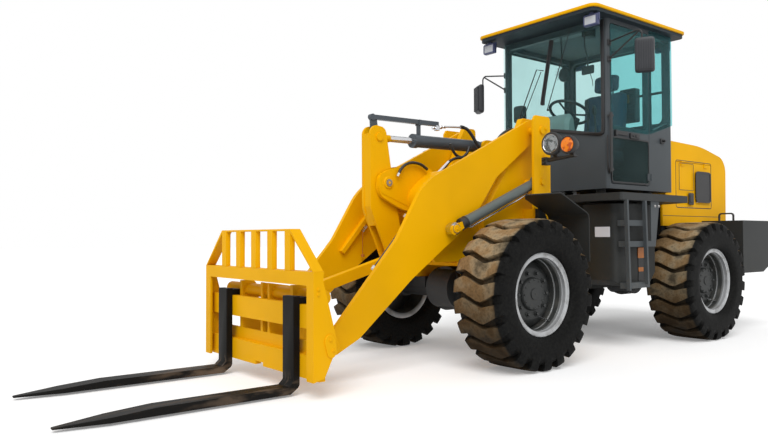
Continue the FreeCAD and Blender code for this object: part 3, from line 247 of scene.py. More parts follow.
def rounded(corners, radius, steps=6):
    # each corner of a closed outline swapped for a parabola that starts and ends a radius away from it
    corners = np.array(corners, float)
    before, after = np.roll(corners, 1, 0) - corners, np.roll(corners, -1, 0) - corners
    sizes = [np.linalg.norm(arm, axis=1)[:, None] for arm in (before, after)]
    reach = np.minimum(np.reshape(radius, (-1, 1)) * np.ones((len(corners), 1)), 0.49 * np.minimum(*sizes))
    first, last = corners + before / sizes[0] * reach, corners + after / sizes[1] * reach
    t = np.linspace(0, 1, steps)[:, None, None]
    arcs = (1 - t) ** 2 * first + 2 * t * (1 - t) * corners + t ** 2 * last
    return np.moveaxis(arcs, 0, 1).reshape(-1, corners.shape[1])


def bent(route, radius, steps=6):
    # an open route with its inner corners rounded the same way
    inner = rounded(route, radius, steps).reshape(len(route), steps, -1)[1:-1].reshape(-1, 3)
    return np.concatenate([[route[0]], inner, [route[-1]]])


def offset(outline, distance):
    # a closed outline moved along its own outward side, for one that runs anticlockwise
    outline = np.array(outline, float)
    edge = np.roll(outline, -1, 0) - outline
    edge = edge[np.linalg.norm(edge, axis=1) > 1e-9]
    outline = outline[np.linalg.norm(np.roll(outline, -1, 0) - outline, axis=1) > 1e-9]
    out = np.stack([edge[:, 1], -edge[:, 0]], -1) / np.linalg.norm(edge, axis=1)[:, None]
    mean = out + np.roll(out, 1, 0)
    mean /= np.maximum((mean * out).sum(1), 0.6)[:, None]
    return outline + mean * distance


def levels(outline, axis, heights):
    # copies of an outline at several heights along an axis
    return np.stack([at(np.insert(np.array(outline, float), "XYZ".index(axis), height, axis=1))
                     for height in heights])


def slab(outline, axis, low, high, edge=0):
    # an outline carried straight along an axis, its two ends drawn in by an edge
    low, high = sorted((low, high))
    rows = [(low, -edge), (low + edge, 0), (high - edge, 0), (high, -edge)] if edge else [(low, 0), (high, 0)]
    points = np.concatenate([levels(offset(outline, inset) if edge else outline, axis, [height])
                             for height, inset in rows])
    return closed(points)


def frameRing(outline, axis, low, high, inward, outward):
    # a frame round an outline: its inner and outer offsets at two heights, joined in a loop
    low, high = sorted((low, high))
    rings = [levels(offset(outline, shift), axis, [height])[0]
             for shift, height in ((-inward, low), (outward, low), (outward, high), (-inward, high))]
    return np.stack(rings), gridFaces(4, len(rings[0]), True, True)


def oblong(u0, u1, v0, v1, radius=8, steps=5):
    # a rectangle between two widths and two heights, its corners rounded
    u0, u1 = sorted((u0, u1))
    corners = [(u0, v0), (u1, v0), (u1, v1), (u0, v1)]
    return rounded(corners, radius, steps) if radius else corners


def spun(profile, centre, axis, steps=32):
    # a profile of (along, radius) in millimetres swept round an axis, its two ends closed flat
    return closed(turned(np.array(profile, float) / 1000, at(centre), axis, steps))


def ribbon(route, width):
    # an open route in a plane given a width to its right, with mitred corners
    route = np.array(route, float)
    runs = np.diff(route, axis=0)
    runs /= np.linalg.norm(runs, axis=1)[:, None]
    out = np.stack([runs[:, 1], -runs[:, 0]], -1)
    mitres = np.concatenate([out[:1], out[:-1] + out[1:], out[-1:]])
    mitres /= (mitres * np.concatenate([out[:1], out[:-1], out[-1:]])).sum(1)[:, None]
    return np.concatenate([route, (route + mitres * width)[::-1]])


def peg(length, radius, spot, axis, steps=6, edge=2):
    # a pin, cap or bolt head with its rims taken off
    profile = [(0, radius - edge), (edge, radius), (length - edge, radius), (length, radius - edge)]
    return spun(profile, spot, axis, steps)


def boltHeads(spots, axis, radius=9, height=8, edge=1.5):
    # a washer and a six-sided head at each place
    return [part for spot in spots for part in (peg(height * 0.3, radius * 1.5, spot, axis, 16, 1),
                                                peg(height, radius, spot, axis, 6, edge))]


def pipe(route, radius, steps=10):
    # a round tube along a route in millimetres
    return tubeAlong(at(route), radius / 1000, steps)


def soften(name, width):
    # a copy of a CAD node with its long edges rounded, standing for it
    node = nodes[name]
    mesh = node.data.copy()
    net = bmesh.new()
    net.from_mesh(mesh)
    bmesh.ops.remove_doubles(net, verts=net.verts, dist=0.00002)
    bmesh.ops.dissolve_limit(net, angle_limit=math.radians(1), verts=net.verts, edges=net.edges)
    net.to_mesh(mesh)
    net.free()
    mesh.materials.clear()
    mesh.materials.append(finishes[name])
    piece = bpy.data.objects.new(name + "_shaped", mesh)
    bpy.context.scene.collection.objects.link(piece)
    bevel = piece.modifiers.new("edges", "BEVEL")
    bevel.width, bevel.segments, bevel.limit_method = width, 2, "ANGLE"
    bevel.angle_limit = math.radians(35)
    roundShade(piece, 30)
    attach(piece, bodyOf[name])
    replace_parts(piece, name)
    return piece


def paint(name, colour, dustTop=0.9, dusty=0.35, gloss=0.32, coat=0.05, sheen=0.2):
    # enamel with a slow change of shade, fine orange peel and dust that thins out with height
    net = Net(name)
    broad = net.noise(1.3, 3)
    shade = [channel * 0.88 for channel in colour[:3]] + [1]
    base = net.blend(broad.ramp(0.35, 0.65), colour, shade)
    spots = net.noise(9, 8)
    low = net.z.ramp(0.1, dustTop, 1, 0)
    mask = (spots.ramp(0.45, 0.72) * 0.7 + 0.3) * low * dusty
    peel = net.noise(420, 2)
    rough = mask * 0.5 + gloss + broad * 0.08
    return net.principled({
        "Base Color": net.blend(mask, base, (0.34, 0.27, 0.17, 1)), "Roughness": rough, "Metallic": 0.0,
        "Normal": net.bump(peel, 0.0002, 0.35), "Coat Weight": coat, "Coat Roughness": 0.12,
        "Specular IOR Level": sheen})


def bareMetal(name, colour, roughness):
    # ground steel or chrome with fine lines across its height
    net = Net(name)
    lines, broad = net.noise(40, 3, (1, 1, 30)), net.noise(3, 3)
    shade = [channel * 0.75 for channel in colour[:3]] + [1]
    return net.principled({
        "Base Color": net.blend(lines.ramp(0.35, 0.7) * 0.6 + broad * 0.2, colour, shade),
        "Roughness": broad.ramp(0.3, 0.7, roughness, roughness + 0.15), "Metallic": 1.0,
        "Normal": net.bump(lines, 0.0002, 0.3)})


def plain(name, colour, roughness, coarse=180, grainDepth=0.0003):
    # moulded or cast surface with a fine grain
    net = Net(name)
    grain, broad = net.noise(coarse, 3), net.noise(5, 4)
    shade = [min(1, channel * 1.35 + 0.004) for channel in colour[:3]] + [1]
    return net.principled({
        "Base Color": net.blend(broad.ramp(0.4, 0.75) * 0.6, colour, shade),
        "Roughness": broad * 0.14 + (roughness - 0.07), "Metallic": 0.0,
        "Normal": net.bump(grain, grainDepth, 0.5)})


def tyreRubber(name):
    # black rubber whose lug tops carry dry mud, set by the piece's own dust attribute; the mud is painted paler towards
    # the top and darker towards the ground, painted light and shade by height
    net = Net(name)
    dust = net.node("Attribute", {"attribute_name": "dust"}, output=2)
    clumps, fine = net.noise(7, 6), net.noise(60, 5)
    mask = (dust * (clumps.ramp(0.30, 0.52) * 0.75 + 0.25) * (fine.ramp(0.25, 0.6) * 0.35 + 0.65))
    rubber = net.blend(fine.ramp(0.3, 0.7), (0.0022, 0.0022, 0.0022, 1), (0.0075, 0.0075, 0.007, 1))
    # painted light and shade: both mud tones run from dark near the ground to pale near the top
    high = net.z.ramp(0.10, 1.0)
    light = net.blend(high, (0.050, 0.034, 0.019, 1), (0.40, 0.31, 0.19, 1))
    dark = net.blend(high, (0.022, 0.014, 0.007, 1), (0.27, 0.17, 0.08, 1))
    mud = net.blend(clumps.ramp(0.4, 0.6), light, dark)
    return net.principled({
        "Base Color": net.blend(mask, rubber, mud), "Roughness": mask * 0.3 + 0.6, "Specular IOR Level": 0.08,
        "Normal": net.bump(fine + clumps, 0.0016, 0.4)})


def tintedGlass(name, colour, gloss=0.5):
    # clear tinted glass: what is behind shows through its colour; a pale teal layer over it is painted reflection haze,
    # thin everywhere, thicker in smears and at grazing rays, where its real gloss shows too
    net = Net(name)
    smear = net.noise(2.2, 4).ramp(0.45, 0.7)
    seen = net.node("BsdfTransparent", {}, {"Color": colour})
    # the sheen layer's pale teal base colour is painted reflection haze; its gloss is real
    sheen = net.shader({"Base Color": (0.20, 0.32, 0.33, 1), "Roughness": smear * 0.06 + 0.03,
                        "Specular IOR Level": 0.5})
    edge = net.node("LayerWeight", {}, {"Blend": 0.5}, 1) ** 4
    # how much painted reflection haze lies over the pane: a constant share, more in smears and at grazing rays
    return net.finish(net.node("MixShader", {}, {0: edge * gloss + smear * 0.03 + 0.05, 1: seen, 2: sheen}))


def silverRim(name):
    # silver enamel, darker and duller towards the depth of the rim, the darkening being painted shade in the recess
    net = Net(name)
    grime = net.noise(14, 6).ramp(0.4, 0.75)
    # the depth attribute carries the painted shade
    shade = net.node("Attribute", {"attribute_name": "depth"}, output=2)
    return net.principled({
        "Base Color": net.blend(grime * 0.5, net.blend(shade, (0.43, 0.44, 0.45, 1), (0.045, 0.048, 0.046, 1)),
                                (0.12, 0.11, 0.095, 1)),
        "Roughness": grime * 0.25 + 0.34, "Metallic": shade.ramp(0, 1, 0.35, 0.25)})


def paintedFacetLight(name, bright, dim, scale, metallic):
    # a lamp's faceted depth as painted patches of light and shade behind a clear face: painted highlights and painted
    # shade
    net = Net(name)
    patches = net.noise(scale, 1)
    return net.principled({
        "Base Color": net.blend(patches.ramp(0.46, 0.60), bright, dim), "Roughness": patches * 0.1 + 0.12,
        "Metallic": metallic, "Normal": net.bump(patches, 0.002, 0.5)})


def wornBlack(name):
    # black enamel rubbed through to brown steel in long streaks where the load slides, near the ground
    net = Net(name)
    streaks, fine = net.noise(11, 6, (0.35, 2.2, 1)), net.noise(70, 4)
    low = net.z.ramp(0.04, 0.16, 1, 0)
    behind = net.x.ramp(2.05, 2.9, 1, 0.25)
    worn = (streaks.ramp(0.50, 0.66) * 0.8 + fine.ramp(0.6, 0.75) * 0.2) * low * behind
    return net.principled({
        "Base Color": net.blend(worn, (0.006, 0.0055, 0.005, 1), (0.16, 0.115, 0.08, 1)),
        "Roughness": worn * 0.15 + 0.5 + fine * 0.06, "Metallic": worn * 0.3, "Specular IOR Level": 0.1,
        "Normal": net.bump(fine + streaks, 0.0004, 0.4)})


def treadPlate(name, colour):
    # dark painted plate with raised lozenges in two slants, rubbed paler on their tops
    net = Net(name)
    slants = [net.node("Mapping", {}, {"Vector": net.place, "Scale": (1, way, 0)}) for way in (1, -1)]
    kinds = [net.node("TexWave", {"bands_direction": "DIAGONAL"}, {"Vector": slant, "Scale": 9.0}, 1)
             for slant in slants]
    facing = net.split(net.node("NewGeometry", output="Normal"))[2]
    raised = (kinds[0] * kinds[1]).ramp(0.55, 0.75) * (facing > 0.7)
    broad = net.noise(4, 4)
    return net.principled({
        "Base Color": net.blend(raised * 0.35 + broad * 0.2, colour, (0.085, 0.088, 0.088, 1)),
        "Roughness": broad * 0.15 + 0.45, "Specular IOR Level": 0.2, "Normal": net.bump(raised, 0.0015, 0.6)})


def wovenCloth(name):
    # a fine plain weave of slate blue yarn, with a slow change of shade
    net = Net(name)
    warp = net.node("TexWave", {"bands_direction": "Y"}, {"Vector": net.place, "Scale": 95.0, "Distortion": 0.6}, 1)
    weft = net.node("TexWave", {"bands_direction": "DIAGONAL"}, {"Vector": net.place, "Scale": 70.0,
                                                                 "Distortion": 0.6}, 1)
    broad = net.noise(6, 3)
    weave = warp * weft
    return net.principled({
        "Base Color": net.blend(weave * 0.6 + broad * 0.3, (0.050, 0.085, 0.155, 1), (0.024, 0.042, 0.080, 1)),
        "Roughness": weave * 0.1 + 0.8, "Sheen Weight": 0.2, "Normal": net.bump(weave, 0.0006, 0.5)})


yellow = paint("yellowPaint", (0.83, 0.42, 0.0, 1), dusty=0.03, gloss=0.44, coat=0.0, sheen=0.08)
cabGrey = paint("cabGrey", (0.060, 0.070, 0.077, 1), dusty=0.08, dustTop=1.6, gloss=0.40, coat=0.05)
charcoal = paint("charcoalSteel", (0.026, 0.028, 0.028, 1), dusty=0.05, dustTop=1.1, gloss=0.5, coat=0.02)
linerDark = paint("linerDark", (0.020, 0.030, 0.038, 1), dusty=0.0, gloss=0.55, coat=0.0)
hubDark = plain("hubDark", (0.0125, 0.014, 0.0135, 1), 0.5, 70, grainDepth=0.0006)
axleBlack = plain("axleBlack", (0.017, 0.018, 0.019, 1), 0.55, 60, grainDepth=0.0008)
cylinderGrey = paint("cylinderGrey", (0.074, 0.088, 0.102, 1), dusty=0.2, gloss=0.3)
chrome = bareMetal("rodChrome", (0.70, 0.71, 0.73, 1), 0.12)
pinSteel = bareMetal("pinSteel", (0.40, 0.39, 0.38, 1), 0.36)
forkSteel = wornBlack("forkSteel")
blackPlastic = plain("blackPlastic", (0.014, 0.014, 0.015, 1), 0.5)
greyPlastic = plain("greyPlastic", (0.017, 0.019, 0.024, 1), 0.5)
hose = plain("hoseRubber", (0.010, 0.010, 0.010, 1), 0.45, 240)
cloth = wovenCloth("seatCloth")
rubber = tyreRubber("tyreRubber")
glass = tintedGlass("cabGlass", (0.86, 0.96, 0.957, 1))
sideGlass = tintedGlass("sideGlass", (0.57, 0.86, 0.87, 1))
darkGlass = tintedGlass("darkGlass", (0.36, 0.46, 0.43, 1))
rimSilver = silverRim("rimSilver")
lampGlass = plain("lampGlass", (0.50, 0.52, 0.55, 1), 0.12, 30)
# the amber lens and the reflector carry painted highlights and painted shade in patches
amber = paintedFacetLight("amberLens", (0.90, 0.24, 0.008, 1), (0.50, 0.075, 0.002, 1), 30, 0.0)
reflector = paintedFacetLight("reflector", (0.82, 0.84, 0.87, 1), (0.24, 0.25, 0.25, 1), 38, 0.2)
mirrorFace = bareMetal("mirrorFace", (0.55, 0.60, 0.62, 1), 0.04)
gasket = plain("gasketRubber", (0.009, 0.009, 0.010, 1), 0.48, 200)
lining = plain("cabLining", (0.24, 0.27, 0.27, 1), 0.8, 120)
palePlate = plain("palePlate", (0.62, 0.64, 0.70, 1), 0.35, 30)
lampBlue = plain("lampShell", (0.045, 0.055, 0.13, 1), 0.4, 160)
ceilingGrey = plain("ceilingGrey", (0.12, 0.14, 0.15, 1), 0.8, 140)
dashGrey = plain("dashGrey", (0.26, 0.32, 0.31, 1), 0.6, 140)
lensClear = tintedGlass("lensClear", (0.97, 0.98, 0.98, 1), 0.3)
liftGrey = paint("liftGrey", (0.115, 0.135, 0.130, 1), dusty=0.1, gloss=0.3)
orangePlastic = plain("orangePlastic", (0.42, 0.13, 0.015, 1), 0.45, 120)
bySlot = {      # the first of each row is what the CAD nodes of that slot wear
    "yellow_paint": [yellow], "dark_grey_paint": [cabGrey], "charcoal_steel": [charcoal],
    "axle_black": [axleBlack, hubDark, hose], "cylinder_grey": [cylinderGrey], "rod_chrome": [chrome, mirrorFace],
    "pin_steel": [pinSteel], "fork_steel": [forkSteel], "tyre_rubber": [rubber], "rim_silver": [rimSilver],
    "cab_plastic": [blackPlastic, greyPlastic, gasket, lining, linerDark, ceilingGrey, dashGrey, orangePlastic,
                    lampBlue],
    "seat_cloth": [cloth], "glass_tint": [glass, sideGlass, darkGlass],
    "lamp_glass": [lampGlass, amber, reflector, lensClear, palePlate],
}
finishes = {name: bySlot[slot][0] for name, slot in slotOf.items()}
finishes["roof_liner"] = linerDark
finishes["deck"] = treadPlate("treadPlate", (0.026, 0.028, 0.028, 1))
finishes["lift_barrel_left"] = finishes["lift_barrel_right"] = liftGrey
for name, node in nodes.items():
    node.data.materials.clear()
    node.data.materials.append(finishes[name])
    roundShade(node, 30)
print("finishes made")


tyreShape = {
    "lugs": 22, "edge": 0.035, "share": 0.79, "shoulderShare": 0.60, "grooveBottom": 0.490,
    "fadeFrom": 0.30, "fadeOver": 0.12, "dustFrom": 0.519, "dustOver": 0.007, "grooveDust": 0.22,
    "slantAt": (-0.20, -0.10, 0.06, 0.20), "slantBy": (0.0, 0.028, -0.034, 0.012),
    "casing": [(0, 0.494), (0.10, 0.492), (0.150, 0.488), (0.172, 0.481), (0.188, 0.472), (0.1995, 0.459),
               (0.2048, 0.438)],
    "lugTop": [(0, 0.530), (0.104, 0.5295), (0.160, 0.527), (0.190, 0.519), (0.202, 0.497), (0.2050, 0.466),
               (0.2052, 0.438)],
    "bead": [(0.2052, 0.390), (0.203, 0.352), (0.194, 0.322), (0.178, 0.301), (0.160, 0.2925), (0.152, 0.290)],
}
wheels = [f"{end}_{side}" for end in ("front", "rear") for side in ("left", "right")]


def makeTyre(name):
    # the casing's section swept round Y; the lug rows are turned along with their slant, so walls stay crisp
    shape = tyreShape
    halves = [smoothPath(shape[key] + shape["bead"], 3) for key in ("casing", "lugTop")]
    low, high = [np.concatenate([half[::-1] * (-1, 1), half[1:]]) for half in halves]
    edge, share = shape["edge"], shape["share"]
    pitch = [0, edge * 0.7, edge, 0.25, 0.5, share - edge, share - edge * 0.7, share, 0.9]
    lug, start = [grid.ravel() for grid in np.meshgrid(pitch, np.arange(shape["lugs"]))]
    rise = np.tile([0, 0.88, 1, 1, 1, 1, 0.88, 0, 0], shape["lugs"])
    section = low[:, None] + (high - low)[:, None] * rise[None, :, None]
    across, radius = section[..., 0], section[..., 1]
    slant = np.interp(across, shape["slantAt"], shape["slantBy"]) / shape["grooveBottom"]
    # the grooves widen towards the shoulders, so each lug is drawn in about its middle there
    narrow = np.interp(np.abs(across), (0.08, 0.19), (share, shape["shoulderShare"])) / share
    spot = np.where(lug <= share, share / 2 + (lug - share / 2) * narrow, lug)
    fade = np.clip((radius - shape["fadeFrom"]) / shape["fadeOver"], 0, 1)
    angle = (start + spot) * 2 * pi / shape["lugs"] + slant * fade
    points = pivot[f"wheel_{name}_spin"] + np.stack([radius * np.cos(angle), across, radius * np.sin(angle)], -1)
    tyre = addPiece(f"tyre_{name}_tread", (points, gridFaces(*across.shape, True, True)), rubber, f"wheel_{name}",
                    smooth=28)
    # dust lies on the lugs' tops and thinly in the grooves
    dust = np.clip((radius - shape["dustFrom"]) / shape["dustOver"], 0, 1)
    dust += shape["grooveDust"] * (np.abs(across) < 0.15) * (radius > 0.48)
    tyre.data.attributes.new("dust", "FLOAT", "POINT").data.foreach_set("value", np.clip(dust, 0, 1).ravel())
    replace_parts(tyre, f"tyre_{name}")


for name in wheels:
    makeTyre(name)
print("tyres made")


rimShape = {
    "rim": [(-163, 248), (-165, 290), (-158, 292), (-155, 284), (-153, 258), (155, 258), (156, 285), (159, 292),
            (163, 291), (165, 286), (163, 283), (159, 281.5), (158, 277), (150, 274.5), (147, 270), (139, 268),
            (131, 261),
            (127, 256), (112, 253), (109, 250), (76, 249), (68, 253), (62, 254), (58, 250), (20, 247), (-60, 246)],
    "dish": [(16, 247), (22, 240), (30, 232), (60, 184), (62, 172), (62, 118), (74, 116), (84, 108), (88, 92),
             (88, 40), (94, 38), (96, 20), (96, 3)],
    "bolts": ((10, 150, 61, 22, 13), (12, 100, 84, 9, 7)),      # count, circle, base, height, radius
    # painted shade darkens the barrel below darkBelow, lifted on one paler line at the inner step
    "darkBelow": 130, "paleStepLine": 65, "barrel": 257,
}


def makeRim(name):
    # the rim's section swept as a closed band; the dish, hub and their bolts as a darker piece
    way, body = 1 if "left" in name else -1, f"wheel_{name}"
    spot = pivot[f"{body}_spin"] * 1000 + originAhead
    profile = np.array(rimShape["rim"], float)
    points = turned(profile / 1000, at(spot), (0, way, 0), 96)
    band = addPiece(f"rim_{name}_band", (points, gridFaces(len(profile), 96, True, True)), rimSilver, body, smooth=24)
    # how much painted shade each ring gets: the inner ones are darkened, apart from one paler line at the barrel's
    # inner step
    out, radius = profile.T
    depth = np.clip((rimShape["darkBelow"] - out) / 20, 0, 1)
    depth *= np.where(np.abs(out - rimShape["paleStepLine"]) < 5, 0.35, 1)
    depth = np.repeat(depth * (radius < rimShape["barrel"]), 96)
    band.data.attributes.new("depth", "FLOAT", "POINT").data.foreach_set("value", depth)
    back = [(80, 3)] + [(u - 14, r) for u, r in rimShape["dish"][-2::-1]]
    solid = [spun(rimShape["dish"] + back, spot, (0, way, 0), 64)]
    for count, circle, base, height, size in rimShape["bolts"]:
        turns = np.arange(count) * 2 * pi / count
        spots = spot + np.stack([circle * np.cos(turns), way * base + 0 * turns, circle * np.sin(turns)], -1)
        solid += boltHeads(spots, (0, way, 0), size, height, 2)
    addPiece(f"rim_{name}_hub", solid, hubDark, body, smooth=30)
    # the valve's stem leans out of the rim through the dish
    low = spot + (-130, way * 40, -178)
    stem = pipe([low, low + (-8, way * 40, -12), low + (-10, way * 62, -14)], 5, 12)
    addPiece(f"rim_{name}_valve", stem, chrome, body)
    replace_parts(band, f"rim_{name}")


for name in wheels:
    makeRim(name)
print("rims made")

edges = {       # how wide each CAD node's long edges are rounded, in metres
    "boom": 0.003, "bellcrank": 0.004, "coupler": 0.003, "fork_carriage": 0.003, "load_guard": 0.003,
    "tilt_link": 0.003, "front_chassis": 0.003, "counterweight": 0.012, "front_fenders": 0.003, "fork_left": 0.004,
    "fork_right": 0.004, "side_tanks": 0.008, "cab_roof": 0.006, "rear_chassis": 0.003,
}
for name, width in edges.items():
    soften(name, width)
print("edges softened")


lampSet = {"x": 800, "inner": (705, 1630, 88, 67), "outer": (856, 1608, 68, 54), "tower": 586}


def makeLamps():
    # round lamps in black buckets: the inner one bright with a faceted reflector, the outer one amber with rings
    x, tower = lampSet["x"], lampSet["tower"]
    for side, name in ((1, "left"), (-1, "right")):
        def around(profile, lamp, steps=36):
            return spun(profile, (0, side * lamp[0], lamp[1]), (1, 0, 0), steps)

        buckets = []
        for lamp in (lampSet["inner"], lampSet["outer"]):
            outer, inner = lamp[2:]
            buckets.append(around([
                (x - 66, outer * 0.30), (x - 64, outer * 0.5), (x - 50, outer * 0.72), (x - 14, outer * 0.96),
                (x + 4, outer), (x + 24, outer), (x + 31, outer - 4), (x + 32, inner + 4), (x + 30, inner + 1),
                (x + 10, inner + 1)], lamp, 40))
        lamp = lampSet["inner"]
        y, z, outer, inner = lamp
        ring = around([(x + 20, inner + 2), (x + 33, inner + 2), (x + 34, inner), (x + 32, inner - 2),
                       (x + 20, inner - 2)], lamp, 40)
        bowl = around([(x - 8, 10), (x - 2, inner * 0.45), (x + 14, inner * 0.85), (x + 22, inner - 2),
                       (x + 21, inner - 2.5), (x - 4, inner * 0.4)], lamp)
        bulb = around([(x - 6, 9), (x + 10, 11), (x + 18, 7), (x + 20, 2)], lamp, 20)
        lens = around([(x + 22, inner - 1), (x + 29, inner - 2), (x + 34, inner * 0.6), (x + 35, 2)], lamp)
        ribs = []
        for u in np.linspace(-0.92, 0.92, 12):
            middle, half = side * y + inner * u, inner * math.sqrt(1 - u * u) * 0.96
            ribs.append(slab(oblong(middle - 1.5, middle + 1.5, z - half, z + half, 0), "X", x + 24, x + 29))
        addPiece(f"lamp_{name}_bowl", [bowl, bulb], reflector, "front_frame")
        addPiece(f"lamp_{name}_ribs", ribs, reflector, "front_frame")
        addPiece(f"lamp_{name}_lens", lens, lensClear, "front_frame")
        inner = lampSet["outer"][3]
        waves = [(x + 29 + 5 * math.cos(t * 0.5 * pi) + (1.2 if i % 2 else 0), max(1.0, inner * math.sin(t * 0.5 * pi)))
                 for i, t in enumerate(np.linspace(1, 0.02, 19))]
        addPiece(f"marker_{name}_lens", around([(x + 14, inner)] + waves, lampSet["outer"]), amber, "front_frame")
        # the bracket: a strap under both lamps, a block clamped on the tower and its bolts
        clamp = slab(oblong(side * tower, side * (tower + 50), 1478, 1538, 6), "X", x - 62, x - 8, 3)
        low, high = sorted((side * (tower + 4), side * 885))
        strap = slab(rounded([(low, 1500), (high, 1522), (high, 1536), (low, 1530)], 5), "X", x - 56, x - 14, 2)
        posts = [slab(oblong(side * y - 18, side * y + 18, 1524, z - 30, 5), "X", x - 48, x - 22, 2)
                 for y, z in (lampSet["inner"][:2], lampSet["outer"][:2])]
        bolts = [peg(14, 9, (x - 10, side * (tower + 24), z), (1, 0, 0)) for z in (1494, 1522)]
        parts = buckets + [clamp, strap] + posts + bolts
        housing = addPiece(f"lamp_{name}_housing", parts, blackPlastic, "front_frame")
        addPiece(f"lamp_{name}_rims", ring, chrome, "front_frame")
        if side > 0:
            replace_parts(housing, "headlamps")


makeLamps()


workLampSet = {
    "half": (68, 46), "ribs": 9, "depth": 36, "z": 2726, "roof": 2791,
    "places": [(1, 96, 572), (1, 96, -572), (-1, -1120, 472), (-1, -1120, -472)],       # way it faces, x, y
}


def makeWorkLamps():
    # square lamps on stirrups under the roof's rim, two to the front and two to the rear
    shells, lenses = [], []
    (wide, tall), z = workLampSet["half"], workLampSet["z"]
    for way, x, y in workLampSet["places"]:
        front = x + way * workLampSet["depth"]

        def face(inset, radius):
            return oblong(y - wide + inset, y + wide - inset, z - tall + inset, z + tall - inset, radius)

        shells += [slab(face(0, 10), "X", x, front, 5),
                   frameRing(face(8, 8), "X", front - way, front + way * 7, 5, 6)]
        lenses.append(slab(face(10, 6), "X", front - way, front + way * 3))
        ribs = [oblong(y + u - 2, y + u + 2, z - tall + 12, z + tall - 12, 0)
                for u in np.linspace(-wide + 16, wide - 16, workLampSet["ribs"])]
        lenses += [slab(rib, "X", front + way * 2, front + way * 5) for rib in ribs]
        low, high, top = y - wide - 5, y + wide + 5, z + tall + 8
        stirrup = ribbon([(low, z), (low, top), (high, top), (high, z)], 5)
        shells += [slab(stirrup, "X", x + way * 8, x + way * 26),
                   slab(oblong(y - 18, y + 18, top - 4, workLampSet["roof"], 3), "X", x + way * 8, x + way * 30)]
        shells += [peg(8, 8, (x + way * 17, y + edge, z), (0, 1, 0), 12, 1) for edge in (-wide - 11, wide + 1)]
    body = addPiece("work_lamp_shells", shells, lampBlue)
    addPiece("work_lamp_lenses", lenses, lampGlass)
    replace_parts(body, "work_lamps")


makeWorkLamps()
print("lamps made")


mirrorSet = {
    "x": -95, "y": 925, "half": 76, "deep": 30, "low": 2260, "top": 2545, "turn": 28, "drops": ((1, 0), (-1, 78)),
    "ribs": 7, "tube": 7, "barX": -114, "barY": 890, "postY": 582,
}


def makeMirrors():
    # moulded heads with upright ribs on their backs, each turned inwards, on two round bars
    shells, faces, bars = [], [], []
    half, deep, x = mirrorSet["half"], mirrorSet["deep"], mirrorSet["barX"]
    angle = math.radians(mirrorSet["turn"])
    along, across = np.array([(math.cos(angle), math.sin(angle)), (-math.sin(angle), math.cos(angle))])
    for side, drop in mirrorSet["drops"]:
        low, top = mirrorSet["low"] - drop, mirrorSet["top"] - drop

        def rings(outline, rows):
            # an outline across the head and up, scaled about its middle, at depths towards its back
            middle, skins = outline.mean(0), []
            for level, scale in rows:
                spots = middle + (outline - middle) * scale
                flat = np.array((mirrorSet["x"], mirrorSet["y"])) + level * along + spots[:, :1] * across
                skins.append(at(np.stack([flat[:, 0], side * flat[:, 1], spots[:, 1]], -1)))
            return closed(np.stack(skins))

        outline = oblong(-half, half, low, top, 26, 7)
        shells.append(rings(outline, [(-deep, 0.93), (-deep + 3, 0.985), (-deep + 12, 1.0), (deep - 26, 1.0),
                                      (deep - 9, 0.93), (deep - 2, 0.80), (deep, 0.62)]))
        shells += [rings(oblong(u - 4.5, u + 4.5, low + 22, top - 22, 4, 3), [(deep - 16, 1), (deep + 7, 1)])
                   for u in np.linspace(-half * 0.72, half * 0.72, mirrorSet["ribs"])]
        faces.append(rings(outline, [(-deep - 1.2, 0.88), (-deep + 1, 0.88)]))
        post, bar = side * mirrorSet["postY"], side * mirrorSet["barY"]
        upper = [(x, post, top + 37), (x, side * 862, top + 82), (x, bar, top + 60), (x, bar, low + 60)]
        lower = [(x, post, top - 105), (x, side * 866, top + 70)]
        bars += [pipe(bent(upper, 26), mirrorSet["tube"]), pipe(lower, mirrorSet["tube"])]
        for z in (top + 37, top - 105):
            bars.append(slab(oblong(x - 22, x + 22, z - 26, z + 26), "Y", side * 578, side * 590, 2))
            bars += [peg(12, 8, (x, side * 588, z + step), (0, side, 0)) for step in (-15, 15)]
        bars.append(peg(60, 12, (x, bar, low + 90), (0, 0, 1), 16))
    body = addPiece("mirror_shells", shells, greyPlastic, smooth=30)
    addPiece("mirror_faces", faces, mirrorFace)
    addPiece("mirror_bars", bars, blackPlastic)
    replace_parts(body, "mirrors")


makeMirrors()
print("mirrors made")


sheets = {
    "windscreen": rounded([(-578, 1784), (0, 1886), (548, 1790), (548, 2787), (-578, 2787)],
                          np.array([20, 300, 66, 12, 12]), 8),
    "door": oblong(-706, -130, 1846, 2746, 24, 6), "doorLow": oblong(-695, -136, 1400, 1778, 30),
    "quarter": rounded([(-1098, 1962), (-722, 1850), (-722, 2787), (-1098, 2787)], 10),
    "rear": oblong(-510, 510, 1985, 2735, 60), "right": oblong(-1040, -145, 1880, 2735, 50),
}
panes = {       # sheet, axis, inner and outer face, finish, body
    "windscreen": ("windscreen", "X", -85, -79, glass, "rear_frame"),
    "quarter_pane": ("quarter", "Y", 580, 585, sideGlass, "rear_frame"),
    "rear_pane": ("rear", "X", -1075, -1069, glass, "rear_frame"),
    "right_pane": ("right", "Y", -555, -549, glass, "rear_frame"),
    "door_pane": ("door", "Y", 580, 585, sideGlass, "cab_door"),
    "door_low_pane": ("doorLow", "Y", 580, 584, darkGlass, "cab_door"),
}
cabLining = {"x": (-1046, -139), "y": (-528, 528), "z": (1384, 1764)}


